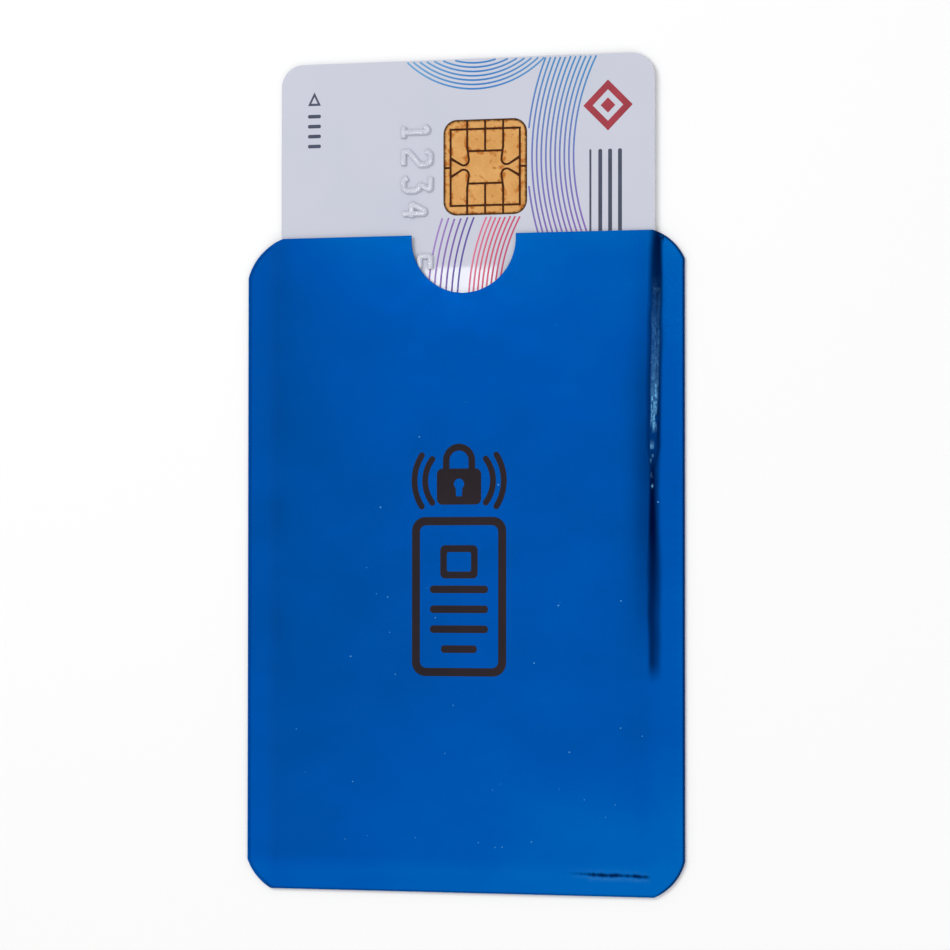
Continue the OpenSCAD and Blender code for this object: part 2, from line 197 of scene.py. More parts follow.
@dataclass(frozen=True)
class Finish:
    """A surface with a fine grain: its tone and gloss wander over two sizes of pattern.

    Args:
        name: Real material and how its surface was made.
        colour: Main colour.
        drift: Colour that the main one drifts to.
        roughness: Mean roughness.
        metallic: One for an uncoated metal.
        sheen: Strength of a plain surface's reflection, 0.5 for most plastics.
        patch_mm: Size of the slow drift of tone.
        grain_mm: Size of the fine grain.
        stretch: How the grain is drawn out along X, Y and Z.
        gloss_range: How far the grain moves the roughness.
        relief_mm: Height of the grain.
        cut: Colour of the painted shade on its upright cut edges, if they have it.
        cut_slope: Upward share of a face's normal below which the face is a cut edge.
    """

    name: str
    colour: str
    drift: str
    roughness: float
    metallic: float = 0.0
    sheen: float = 0.5
    patch_mm: float = 9.0
    grain_mm: float = 0.5
    stretch: Triple = (1.0, 1.0, 1.0)
    gloss_range: float = 0.08
    relief_mm: float = 0.002
    cut: str = ""
    cut_slope: float = 0.2

    def noise(self, tree: Tree, size_mm: float, detail: float, stretch: Triple = (1.0, 1.0, 1.0)) -> Node:
        """Add a noise on the piece's own coordinates.

        Args:
            tree: Material's node tree.
            size_mm: Size of its features.
            detail: Octaves of finer detail.
            stretch: How it is drawn out along X, Y and Z.

        Returns:
            The noise, mostly between NOISE_LOW and NOISE_HIGH.
        """
        place = add_node(tree, "ShaderNodeTexCoord").outputs["Object"]
        drawn = add_node(tree, "ShaderNodeMapping", {"Vector": place, "Scale": tuple(1 / s for s in stretch)})
        scale = 1 / (size_mm * MM)
        return add_node(tree, "ShaderNodeTexNoise", {"Vector": drawn, "Scale": scale, "Detail": detail})

    def tone(self, tree: Tree) -> Node:
        """Colour that drifts slowly between two."""
        patch = self.noise(tree, self.patch_mm, detail=3.0)
        return add_node(tree, RAMP, (patch,), ((NOISE_LOW, self.drift), (NOISE_HIGH, self.colour)))

    def layers(self, tree: Tree) -> list[Layer]:
        """Find what lies over the tone: here the painted shade on the upright cut edges, if they have it.

        Args:
            tree: Material's node tree.

        Returns:
            The layers, from the bottom up.
        """
        if not self.cut:
            return []
        # Upright faces, the cut edges, get the painted shade
        normal = add_node(tree, "ShaderNodeNewGeometry").outputs["True Normal"]
        upward = add_node(tree, "ShaderNodeSeparateXYZ", (normal,)).outputs["Z"]
        return [(chain(tree, MATH, upward, ("ABSOLUTE",), ("LESS_THAN", self.cut_slope)), self.cut)]

    def material(self) -> bpy.types.Material:
        """Build the material, once.

        Returns:
            The material.
        """
        known = bpy.data.materials.get(self.name)
        if known is not None:
            return known
        material = bpy.data.materials.new(self.name)
        tree = emptied(material)
        colour = self.tone(tree)
        for share, code in self.layers(tree):
            inputs = {0: share, 6: colour, 7: linear_colour(code)}
            colour = add_node(tree, "ShaderNodeMix", inputs, data_type="RGBA").outputs[2]
        fine = self.noise(tree, self.grain_mm, detail=2.0, stretch=self.stretch)
        coarse = self.noise(tree, self.grain_mm * 3, detail=3.0, stretch=self.stretch)
        low, high = self.roughness - self.gloss_range, self.roughness + self.gloss_range
        surface = add_node(tree, "ShaderNodeBsdfPrincipled", {
            "Base Color": colour, "Metallic": self.metallic, "Specular IOR Level": self.sheen,
            "Roughness": add_node(tree, RANGE, (coarse, NOISE_LOW, NOISE_HIGH, low, high)),
            "Normal": add_node(tree, "ShaderNodeBump", {
                "Strength": 1.0, "Distance": self.relief_mm * MM, "Height": fine,
            }),
        })
        add_node(tree, "ShaderNodeOutputMaterial", (surface,))
        return material


@dataclass(frozen=True)
class LacqueredFilm(Finish):
    """Metallised film under a clear blue lacquer, clouded by its coating, with painted reflection, painted
    shade and painted highlights over it.

    Args:
        middle: Colour at a middling level.
        middle_level: Place of that colour between the drift's and the main one.
        dark: Colour of the painted shade in the fold, the pucker and along the rim.
        highlight: Colour of the painted sheen, glints and highlights.
        mean_level: Mean place between the drift's colour and the main one.
        cloud: How far the clouds move that place.
        highlight_grain_mm: Size of the grain that breaks the painted highlights up.
        highlight_grain_stretch: How it is drawn out.
        highlight_grain_range: Noise where the grain starts and is full, and how strong the painted highlights
            are at each.
    """

    middle: str = "#0053AE"
    middle_level: float = 0.45
    dark: str = "#000C36"
    bare: str = "#6CB4E2"
    mean_level: float = 0.4
    cloud: float = 0.5
    highlight_grain_mm: float = 0.16
    highlight_grain_stretch: Triple = (1.0, 2.0, 1.0)
    highlight_grain_range: Floats = (0.35, 0.65, 0.3, 1.3)

    def tone(self, tree: Tree) -> Node:
        """Build the lacquer's colour from its random clouds and the painted reflection.

        Args:
            tree: Material's node tree.

        Returns:
            The colour.
        """
        # The stored painted reflection, in lighter and darker patches, moves the colour along the ramp
        painted_reflection = add_node(tree, "ShaderNodeAttribute", attribute_name="painted_reflection").outputs["Fac"]
        cloud = self.noise(tree, self.patch_mm, detail=5.0, stretch=self.stretch)
        mean = self.mean_level - self.cloud / 2
        level = chain(tree, MATH, cloud, ("MULTIPLY_ADD", self.cloud, painted_reflection), ("ADD", mean))
        stops = ((0.0, self.drift), (self.middle_level, self.middle), (1.0, self.colour))
        return add_node(tree, RAMP, (level,), stops)

    def layers(self, tree: Tree) -> list[Layer]:
        """Find what lies over the lacquer: painted shade in the fold, the pucker and the rim, then painted
        highlights.

        Args:
            tree: Material's node tree.

        Returns:
            The layers, from the bottom up.
        """
        # The stored painted shade, then the stored painted highlights
        fold, highlight_share = (
            add_node(tree, "ShaderNodeAttribute", attribute_name=name).outputs["Fac"]
            for name in ("fold", "highlight_share")
        )
        # A grain breaks the painted highlights up
        highlight_grain = self.noise(tree, self.highlight_grain_mm, detail=2.0, stretch=self.highlight_grain_stretch)
        highlight_cover = add_node(tree, RANGE, (highlight_grain, *self.highlight_grain_range))
        shown = add_node(tree, MATH, (highlight_cover, highlight_share), operation="MULTIPLY", use_clamp=True)
        return [(fold, self.dark), (shown, self.bare)]


@dataclass(frozen=True)
class RippleInk(Finish):
    """Offset ink under the laminate, whose colour runs through three hues along or across the lines.

    Args:
        hues: The three colours.
        turns: Turn of hue where each of them is pure.
    """

    gloss_range: float = 0.01
    relief_mm: float = 0.0001
    hues: tuple[str, str, str] = ("#2E86C8", "#7A62A8", "#C85A8C")
    turns: Triple = (0.05, 0.5, 0.95)

    def tone(self, tree: Tree) -> Node:
        """Ink colour by the turn of hue that the line carries."""
        turn = add_node(tree, "ShaderNodeAttribute", attribute_name="hue").outputs["Fac"]
        return add_node(tree, RAMP, (turn,), list(zip(self.turns, self.hues)))


@dataclass(frozen=True)
class TarnishedPlate(Finish):
    """Plated metal with orange-brown tarnish in spots and along its grooves, and a dark rim, partly stained
    and partly painted shade of the gap round the plate.

    Args:
        middle: Middle of the plate in millimetres.
        half: Half of its size.
        corner_mm: Radius of its corners.
        rim_mm: Width of the dark rim.
        rim_soft: Half the width of its soft edge, as a share of that.
        rim_cover: Share of the metal that it covers.
        stain_and_shade: Colour of that rim.
        spot: Colour of the tarnish.
        spot_mm: Size of its spots.
        spot_range: Noise where a spot starts and where it is full.
        spot_cover: Share of the metal that it covers there.
        groove_mm: Distances from a groove over which its tarnish thins out.
        groove_gain: What a groove adds to the noise of the spots.
        grooves: Half sizes of the rectangles round the plate's middle that the grooves follow.
    """

    middle: Pair = (0.0, 0.0)
    half: Pair = (6.0, 6.6)
    corner_mm: float = 1.0
    rim_mm: float = 0.5
    rim_soft: float = 0.3
    rim_cover: float = 0.92
    stain_and_shade: str = "#2E1606"
    spot: str = "#B0601F"
    spot_mm: float = 1.0
    spot_range: Pair = (0.57, 0.72)
    spot_cover: float = 0.85
    groove_mm: Pair = (0.1, 0.55)
    groove_gain: float = 0.16
    grooves: tuple[Pair, ...] = ((5.0, 5.3), (2.6, 9.0), (2.6, 2.25))

    def distance(self, tree: Tree, half: Pair, corner: float) -> Node:
        """Work out the distance from a round-cornered rectangle round the plate's middle.

        Args:
            tree: Material's node tree.
            half: Half of its size in millimetres.
            corner: Radius of its corners.

        Returns:
            The distance in millimetres, negative within it.
        """
        past_corner = chain(
            tree, VECTOR_MATH, add_node(tree, "ShaderNodeTexCoord").outputs["Object"],
            ("MULTIPLY", (1 / MM, 1 / MM, 0.0)), ("SUBTRACT", (*self.middle, 0.0)), ("ABSOLUTE",),
            ("SUBTRACT", (half[0] - corner, half[1] - corner, 0.0)),
        )
        outside = chain(tree, VECTOR_MATH, past_corner, ("MAXIMUM", (0.0, 0.0, 0.0)), ("LENGTH",))
        parts = add_node(tree, "ShaderNodeSeparateXYZ", (past_corner,)).outputs
        return chain(
            tree, MATH, parts["X"], ("MAXIMUM", parts["Y"]), ("MINIMUM", 0.0),
            ("ADD", outside.outputs["Value"]), ("SUBTRACT", corner),
        )

    def layers(self, tree: Tree) -> list[Layer]:
        """Find what lies over the metal: spots of tarnish, thicker along the grooves, and the dark rim,
        partly stained, partly painted shade.

        Args:
            tree: Material's node tree.

        Returns:
            The layers, from the bottom up.
        """
        rim = self.distance(tree, self.half, self.corner_mm)
        nearest = chain(tree, MATH, rim, ("ABSOLUTE",))
        for half in self.grooves:
            nearest = chain(tree, MATH, self.distance(tree, half, 0.0), ("ABSOLUTE",), ("MINIMUM", nearest))
        beside = add_node(tree, RANGE, (nearest, *self.groove_mm, self.groove_gain, 0.0))
        spots = chain(tree, MATH, self.noise(tree, self.spot_mm, detail=4.0), ("ADD", beside))
        cover = add_node(tree, RANGE, (spots, *self.spot_range, 0.0, self.spot_cover))
        # The dark rim: partly stained metal, partly painted shade of the gap round the plate
        rough = self.noise(tree, self.spot_mm / 3, detail=2.0)
        ragged = chain(tree, MATH, rough, ("MULTIPLY_ADD", self.rim_mm, rim))
        soft = self.rim_soft * self.rim_mm
        edge = add_node(tree, RANGE, (ragged, -soft, soft, 0.0, self.rim_cover))
        return [(cover, self.spot), (edge, self.stain_and_shade)]


class Finishes:
    """Every finish on the sleeve and the card."""

    # Aluminised polyester under blue lacquer: a soft, even mirror in one deep colour
    FILM = LacqueredFilm(
        "blue_lacquered_metallised_film", "#0063B8", "#004996", 0.22, metallic=1.0,
        patch_mm=7.0, grain_mm=0.9, stretch=(1.6, 1.0, 1.0), gloss_range=0.04, relief_mm=0.0012,
    )
    # Rolled aluminium foil: bright, with fine roll lines across it, and painted shade in navy on its upright
    # cut edges
    FOIL = Finish(
        "rolled_aluminium_foil", "#D4D6DA", "#C2C5CA", 0.28, metallic=1.0,
        grain_mm=0.3, stretch=(30.0, 1.0, 1.0), relief_mm=0.002, cut="#0A2C6E",
    )
    # Bleached kraft liner, calendered: matt, faintly fibrous, slightly warm, with painted shade in dark blue
    # on its upright cut edges
    LINER = Finish(
        "calendered_liner_paper", "#F3F1EA", "#E9E5DB", 0.72,
        patch_mm=4.0, grain_mm=0.35, stretch=(4.0, 1.0, 1.0), relief_mm=0.004, cut="#0A2C6E",
    )
    # Heat-seal adhesive: milky and waxy, with the same painted shade on its upright cut edges
    SEAL = Finish(
        "heat_seal_adhesive", "#E6E0CC", "#D8CFB4", 0.45, patch_mm=5.0, relief_mm=0.003, cut="#0A2C6E",
    )
    # Black screen ink: satin, with a slightly uneven coat
    SCREEN_INK = Finish(
        "black_screen_ink", "#241A20", "#1B151B", 0.42, sheen=0.15,
        patch_mm=6.0, grain_mm=0.25, gloss_range=0.1, relief_mm=0.002,
    )
    # Pinholes in the lacquer: the bare metal glints through
    PINHOLE = Finish("bare_metal_pinholes", "#5E9CD6", "#3F82C4", 0.3, metallic=1.0, patch_mm=0.8)
    # Press-polished PVC laminate over a silver pearl print: glossy, so a lamp shows in it
    OVERLAY = Finish(
        "press_polished_pearl_laminate", "#C9CBD8", "#C4C7D5", 0.02,
        patch_mm=11.0, grain_mm=0.4, gloss_range=0.004, relief_mm=0.00005,
    )
    # White rigid PVC core: shows only at the card's edge, plain and satin
    CORE = Finish("white_pvc_core", "#E4E4EA", "#D9DAE2", 0.5, patch_mm=3.0, grain_mm=0.2, relief_mm=0.002)
    # Antenna inlay of translucent white film: a slightly bluer line in the card's edge
    INLAY = Finish("translucent_inlay_film", "#DADDE6", "#CDD2DE", 0.42, patch_mm=3.0, relief_mm=0.001)
    # High-coercivity magnetic tape: near black, smooth
    STRIPE = Finish(
        "magnetic_tape", "#1E1A1C", "#161416", 0.3,
        grain_mm=0.3, stretch=(1.0, 30.0, 1.0), gloss_range=0.05, relief_mm=0.0008,
    )
    # Signature panel: chalky white coating that takes ink
    SIGNATURE = Finish("signature_panel_coating", "#F1F0EC", "#E6E4DE", 0.85, grain_mm=0.15, relief_mm=0.004)
    # Hot-stamped silver foil on the digits, rubbed in places
    STAMP = Finish(
        "hot_stamped_silver_foil", "#D6D8E2", "#C4C7D4", 0.24, metallic=1.0,
        patch_mm=1.4, grain_mm=0.25, gloss_range=0.1, relief_mm=0.002,
    )
    # Hard gold over nickel on copper: satin and warm, spotted with tarnish
    CONTACT = TarnishedPlate(
        "hard_gold_plated_contacts", "#E2AC6C", "#D39A58", 0.36, metallic=1.0,
        patch_mm=2.0, grain_mm=0.12, gloss_range=0.1, relief_mm=0.0015,
    )
    # Glass epoxy tape under the contacts: dark brown in the grooves
    EPOXY = Finish(
        "glass_epoxy_tape", "#4C260C", "#2E1406", 0.6, sheen=0.15,
        patch_mm=0.7, grain_mm=0.2, relief_mm=0.004,
    )
    # Hot-melt adhesive tape: cream and waxy
    HOT_MELT = Finish("hot_melt_tape", "#D9CFA8", "#CABE92", 0.5, patch_mm=2.0, relief_mm=0.003)
    # Ground silicon die: a dull grey mirror
    SILICON = Finish("ground_silicon", "#5F666E", "#4A5058", 0.25, metallic=1.0, patch_mm=0.8, grain_mm=0.1)
    # Drawn gold wire: bright yellow
    WIRE = Finish("drawn_gold_wire", "#E0B04A", "#CF9C38", 0.2, metallic=1.0, patch_mm=0.5, grain_mm=0.05)
    # Black glob-top resin: half glossy
    RESIN = Finish("black_glob_top_resin", "#17171A", "#101013", 0.35, patch_mm=1.5, relief_mm=0.003)
    # Embedded copper conductor: salmon red, drawn smooth
    COPPER = Finish(
        "drawn_copper_conductor", "#C77B4A", "#B4683A", 0.32, metallic=1.0, patch_mm=2.0, grain_mm=0.1,
    )
    # Silver-filled conductive paste: dull and grainy
    PASTE = Finish("silver_filled_paste", "#B9B9B4", "#A3A39E", 0.6, metallic=1.0, patch_mm=0.6, grain_mm=0.1)
    # Offset inks under the laminate, as glossy as it is: those of the ripples, their mark and their rules
    UPPER_INK, SIDE_INK, LOWER_INK, INNER_INK = (
        RippleInk(name, colour, colour, 0.03, hues=hues) for name, colour, hues in (
            ("blue_offset_ink", "#4A8FC8", ("#7FB6D6", "#1F74BE", "#6E9FC8")),
            ("blue_to_pink_offset_ink", "#4A8FC8", ("#3F86BE", "#7A62B0", "#C83E80")),
            ("violet_offset_ink", "#8A6CB0", ("#5A4A9C", "#7A5CA8", "#9C7CC0")),
            ("pink_offset_ink", "#C8506E", ("#C04A70", "#CC4E6C", "#D86E8E")),
        )
    )
    MARK_INK = Finish("dark_red_offset_ink", "#A5283C", "#92202F", 0.06, patch_mm=2.0, gloss_range=0.01)
    RULE_INK = Finish("slate_offset_ink", "#3E465E", "#343B50", 0.06, patch_mm=2.0, gloss_range=0.01)


@dataclass(frozen=True)
class ValueNoise:
    """Smooth random heights from -1 to 1 on a lattice, the same each time.

    Args:
        cell: Lattice steps along x and y.
        seed: Seed of the random values.
        shift: What it adds to places, to take a part of the pattern away from its corner.
        repeat: Number of steps after which they repeat.
    """

    cell: Pair
    seed: int
    shift: Pair = (50.0, 100.0)
    repeat: int = 128

    def __call__(self, x: Points, y: Points) -> Points:
        """Find the heights at some places.

        Args:
            x: Places across.
            y: Places along.

        Returns:
            One height per place.
        """
        table = np.random.default_rng(self.seed).uniform(-1, 1, (self.repeat, self.repeat))
        u, v = (x + self.shift[0]) / self.cell[0], (y + self.shift[1]) / self.cell[1]
        i, j = np.floor(u).astype(int), np.floor(v).astype(int)
        fu, fv = u - i, v - j
        fu, fv = fu * fu * (3 - 2 * fu), fv * fv * (3 - 2 * fv)
        corner = [[table[(i + a) % self.repeat, (j + b) % self.repeat] for b in (0, 1)] for a in (0, 1)]
        near, far = (low * (1 - fv) + high * fv for low, high in corner)
        return near * (1 - fu) + far * fu


def fade(value: Points, start: float, end: float) -> Points:
    """Smooth step from 0 at start to 1 at end, which may lie below start."""
    share = np.clip((value - start) / (end - start), 0, 1)
    return share * share * (3 - 2 * share)


def between(value: Points, low: float, high: float, soft: float) -> Points:
    """Smooth window: 1 from low to high, and 0 from soft outside them."""
    return fade(value, low - soft, low) * fade(value, high + soft, high)


def soft_min(a: Points, b: Points, blend: float) -> Points:
    """The lower of a and b, rounded where they are within blend of each other."""
    near = np.maximum(blend - np.abs(a - b), 0) / blend
    return np.minimum(a, b) - near * near * blend / 4


def soft_max(a: Points, b: Points, blend: float) -> Points:
    """The higher of a and b, rounded where they are within blend of each other."""
    return -soft_min(-a, -b, blend)


def arc(centre: Pair, radius: float, start: float, end: float, count: int) -> Points:
    """Points along an arc from start to end, both in degrees, one row each."""
    angles = np.radians(np.linspace(start, end, count))
    return np.column_stack((centre[0] + radius * np.cos(angles), centre[1] + radius * np.sin(angles)))


def round_rect(centre: Pair, width: float, height: float, radius: float, count: int = 8) -> Points:
    """Draw a rectangle with round corners, counter-clockwise.

    Args:
        centre: Its centre.
        width: Size along x.
        height: Size along y.
        radius: Corner radius.
        count: Points on each corner.

    Returns:
        One row per point.
    """
    x, y = width / 2 - radius, height / 2 - radius
    corners = ((x, y, 0), (-x, y, 90), (-x, -y, 180), (x, -y, 270))
    return np.vstack([
        arc((centre[0] + dx, centre[1] + dy), radius, a, a + 90, count) for dx, dy, a in corners
    ])


def refined(ring: Points, step: float, bow: float = 1e-4) -> Points:
    """Add points to an outline, so that none are more than step apart.

    Args:
        ring: Closed outline, with the material on its left.
        step: Greatest distance.
        bow: How far the points of a straight side lie in from it, so that no three are quite in line.

    Returns:
        The finer outline.
    """
    made = []
    for a, b in zip(ring, np.roll(ring, -1, axis=0)):
        side = b - a
        length = float(np.linalg.norm(side))
        if length == 0:
            continue
        count = max(1, math.ceil(length / step))
        share = np.arange(count)[:, None] / count
        inward = np.array([-side[1], side[0]]) / length
        made.append(a + side * share + inward * (4 * bow * share * (1 - share)))
    return np.vstack(made)


def inset(ring: Points, distance: float) -> Points:
    """Place points that run along a closed outline, some distance to its left.

    Args:
        ring: The outline.
        distance: Distance of the points.

    Returns:
        One row per point.
    """
    tangent = np.roll(ring, -1, axis=0) - np.roll(ring, 1, axis=0)
    tangent /= np.linalg.norm(tangent, axis=1)[:, None]
    return ring + distance * np.column_stack((-tangent[:, 1], tangent[:, 0]))


def inside(points: Points, ring: Points) -> Points:
    """Tell which points lie within a closed outline.

    Args:
        points: One row per point.
        ring: The outline.

    Returns:
        True for each point inside.
    """
    found = np.zeros(len(points), bool)
    for (ax, ay), (bx, by) in zip(ring, np.roll(ring, -1, axis=0)):
        if ay == by:
            continue
        crosses = (ay > points[:, 1]) != (by > points[:, 1])
        found ^= crosses & (points[:, 0] < (bx - ax) * (points[:, 1] - ay) / (by - ay) + ax)
    return found


def edge_distance(points: Points, rings: Sequence[Points]) -> Points:
    """Measure the distance from each point to the nearest edge of some outlines.

    Args:
        points: One row per point.
        rings: Closed outlines.

    Returns:
        One distance per point.
    """
    nearest = np.full(len(points), np.inf)
    for ring in rings:
        for a, b in zip(ring, np.roll(ring, -1, axis=0)):
            side = b - a
            share = np.clip((points - a) @ side / max(float(side @ side), 1e-12), 0, 1)
            nearest = np.minimum(nearest, np.linalg.norm(points - a - share[:, None] * side, axis=1))
    return nearest


def lattice(low: Pair, high: Pair, step: Pair) -> Points:
    """Points on the lattice of a rectangle from low to high, one row each."""
    x, y = (np.arange(*span) for span in zip(low, high, step))
    return np.array(np.meshgrid(x, y)).reshape(2, -1).T


@dataclass
class Plate:
    """A closed thin body over an outline, whose two faces follow heights of their own.

    Args:
        rings: Outer outline, counter-clockwise, then the outlines of openings, clockwise.
        top: Heights of the upper face.
        bottom: Heights of the lower face.
        top_points: Points that shape the upper face.
        bottom_points: Points that shape the lower face.
        clearance: Least distance of those points from the outlines.
        insets: Distances of further rows of points along the upper face's outlines.
    """

    rings: list[Points]
    top: Heights
    bottom: Heights
    top_points: Points = field(default_factory=lambda: np.empty((0, 2)))
    bottom_points: Points = field(default_factory=lambda: np.empty((0, 2)))
    clearance: float = 0.03
    insets: Floats = ()

    def covers(self, points: Points) -> Points:
        """Tell which points lie on the plate and in none of its openings.

        Args:
            points: One row per point.

        Returns:
            True for each point on the plate.
        """
        found = inside(points, self.rings[0])
        for ring in self.rings[1:]:
            found &= ~inside(points, ring)
        return found

    def edges(self) -> list[tuple[int, int]]:
        """Number the edges of the outlines.

        Returns:
            The two points of each edge, counted through all outlines.
        """
        pairs, start = [], 0
        for ring in self.rings:
            count = len(ring)
            pairs += [(start + i, start + (i + 1) % count) for i in range(count)]
            start += count
        return pairs

    def face(self, points: Points, insets: Floats) -> tuple[Points, Points]:
        """Fill the outline with triangles.

        Args:
            points: Points within it that shape the face.
            insets: Distances of rows of points along its outlines.

        Returns:
            The points, the outline's first, and the counter-clockwise triangles.
        """
        if len(points):
            points = points[self.covers(points) & (edge_distance(points, self.rings) > self.clearance)]
        rows = [inset(ring, distance) for ring in self.rings for distance in insets]
        everything = np.vstack((*self.rings, *rows, points))
        whole_hull, epsilon = 0, 1e-9
        found = delaunay_2d_cdt([Vector(p) for p in everything], self.edges(), [], whole_hull, epsilon)
        source = [origins[0] for origins in found[3]]
        triangles = np.array([[source[v] for v in f] for f in found[2]])
        triangles = triangles[self.covers(everything[triangles].mean(axis=1))]
        a, b, c = (everything[triangles[:, i]] for i in range(3))
        turned = (b - a)[:, 0] * (c - a)[:, 1] - (b - a)[:, 1] * (c - a)[:, 0] < 0
        triangles[turned] = triangles[turned][:, ::-1]
        return everything, triangles

    def shell(self) -> Shell:
        """Build the closed body.

        Returns:
            Its points in millimetres and its faces.
        """
        upper, upper_faces = self.face(self.top_points, self.insets)
        lower, lower_faces = self.face(self.bottom_points, ())
        points = np.vstack((
            np.column_stack((upper, self.top(upper[:, 0], upper[:, 1]))),
            np.column_stack((lower, self.bottom(lower[:, 0], lower[:, 1]))),
        ))
        shift = len(upper)
        faces = upper_faces.tolist() + (lower_faces[:, ::-1] + shift).tolist()
        return points, faces + [[a + shift, b + shift, b, a] for a, b in self.edges()]


def new_piece(
    name: str, points: Points, faces: list[list[int]], finish: Finish, sharp_degrees: float = 35.0,
) -> Piece:
    """Make a piece from points in millimetres.

    Args:
        name: Name of the piece.
        points: One row per vertex.
        faces: Vertex numbers of each face.
        finish: Its finish.
        sharp_degrees: Angle past which an edge stays sharp.

    Returns:
        The new piece.
    """
    mesh = bpy.data.meshes.new(name)
    mesh.from_pydata((points * MM).tolist(), [], faces)
    mesh.validate()
    mesh.shade_smooth()
    mesh.set_sharp_from_angle(angle=math.radians(sharp_degrees))
    mesh.materials.append(finish.material())
    return add_object(name, mesh)


def store(piece: Piece, name: str, values: Points) -> None:
    """Keep one number per vertex on a piece, for its material."""
    piece.data.attributes.new(name, "FLOAT", "POINT").data.foreach_set("value", values.astype(np.float32))


def node_box(node: str) -> tuple[Vector, Vector]:
    """Corners of a frame node in millimetres."""
    low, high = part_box(node)
    return low / MM, high / MM


def joined(shells: Sequence[Shell]) -> Shell:
    """Put several closed bodies into one.

    Args:
        shells: Points and faces of each.

    Returns:
        All points, and faces that count through them.
    """
    faces, shift = [], 0
    for points, own_faces in shells:
        faces += [[v + shift for v in f] for f in own_faces]
        shift += len(points)
    return np.vstack([points for points, _ in shells]), faces


def tie(piece: Piece, body: Body, replaces: Sequence[str] = (), place: str = "") -> None:
    """Tie a piece to the frame and report it.

    Args:
        piece: The piece.
        body: Body that it moves with.
        replaces: Frame nodes that it stands for.
        place: Words for the report.
    """
    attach(piece, body.value)
    if replaces:
        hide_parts(*replaces)
    triangles = sum(len(p.vertices) - 2 for p in piece.data.polygons)
    LOG.info("%s: %d triangles, %s", piece.name, triangles, place)


def dress(finishes: dict[str, Finish]) -> None:
    """Give frame nodes their finishes.

    Args:
        finishes: Finish of each node.
    """
    for node, finish in finishes.items():
        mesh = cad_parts[node].data
        mesh.materials.clear()
        mesh.materials.append(finish.material())
        LOG.info("%s: %s", node, finish.name)


class LineTree:
    """Geometry Nodes tree with named inputs, whose result becomes a piece of its own."""

    def __init__(self, name: str, sizes: dict[str, float | int]) -> None:
        """Start a tree with its inputs.

        Args:
            name: Name of the tree.
            sizes: Value of each input by its name. A whole number makes an input for whole numbers.
        """
        self.tree = bpy.data.node_groups.new(name, "GeometryNodeTree")
        self.sizes = sizes
        sockets = self.tree.interface
        sockets.new_socket(name="Geometry", in_out="INPUT", socket_type="NodeSocketGeometry")
        for label, value in sizes.items():
            kind = "NodeSocketInt" if isinstance(value, int) else "NodeSocketFloat"
            sockets.new_socket(name=label, in_out="INPUT", socket_type=kind)
        sockets.new_socket(name="Geometry", in_out="OUTPUT", socket_type="NodeSocketGeometry")
        self.given = add_node(self.tree, "NodeGroupInput").outputs

    def sweep(self, lines: Node | Socket) -> Node:
        """Sweep lines with a trapezoid.

        Args:
            lines: Mesh of edges.

        Returns:
            The swept mesh.
        """
        tree, given = self.tree, self.given
        curve = add_node(tree, "GeometryNodeMeshToCurve", (lines,))
        bent = add_node(tree, "GeometryNodeFilletCurve", {
            "Curve": curve, "Radius": given["Bend radius"], "Count": 4, "Limit Radius": True,
        }, mode="POLY")
        upright = add_node(tree, "GeometryNodeSetCurveNormal", (bent,), mode="Z_UP")
        # The sweep turns the profile over, so its bottom is the ridge's top
        profile = add_node(tree, "GeometryNodeCurvePrimitiveQuadrilateral", {
            "Bottom Width": given["Top width"], "Top Width": given["Base width"], "Height": given["Height"],
            "Offset": 0.0,
        }, mode="TRAPEZOID")
        soft = add_node(tree, "GeometryNodeFilletCurve", {
            "Curve": profile, "Radius": given["Shoulder radius"], "Count": 2, "Limit Radius": True,
        }, mode="POLY")
        ends = {"Curve": upright, "Profile Curve": soft, "Fill Caps": True}
        return add_node(tree, "GeometryNodeCurveToMesh", ends)

    def grow(
        self, name: str, carrier: bpy.types.Mesh, geometry: Node, finish: Finish, sharp_degrees: float = 50.0,
    ) -> Piece:
        """End the tree, run it and keep its result as a plain mesh.

        Args:
            name: Name of the piece.
            carrier: Mesh that the tree works on.
            geometry: Last node of the tree's own.
            finish: Finish of the piece.
            sharp_degrees: Angle past which an edge stays sharp.

        Returns:
            The new piece.
        """
        real = add_node(self.tree, "GeometryNodeRealizeInstances", (geometry,))
        dressing = {"Geometry": real, "Material": finish.material()}
        add_node(self.tree, "NodeGroupOutput", (add_node(self.tree, "GeometryNodeSetMaterial", dressing),))
        piece = add_object(name, carrier)
        modifier = piece.modifiers.new(self.tree.name, "NODES")
        modifier.node_group = self.tree
        for item in self.tree.interface.items_tree:
            if item.in_out == "INPUT" and item.name in self.sizes:
                modifier[item.identifier] = self.sizes[item.name]
        scene = bpy.context.evaluated_depsgraph_get()
        mesh = bpy.data.meshes.new_from_object(piece.evaluated_get(scene), depsgraph=scene)
        piece.modifiers.remove(modifier)
        piece.data = mesh
        mesh.name = name
        shell = bmesh.new()
        shell.from_mesh(mesh)
        bmesh.ops.recalc_face_normals(shell, faces=shell.faces)
        shell.to_mesh(mesh)
        shell.free()
        mesh.shade_smooth()
        mesh.set_sharp_from_angle(angle=math.radians(sharp_degrees))
        return piece


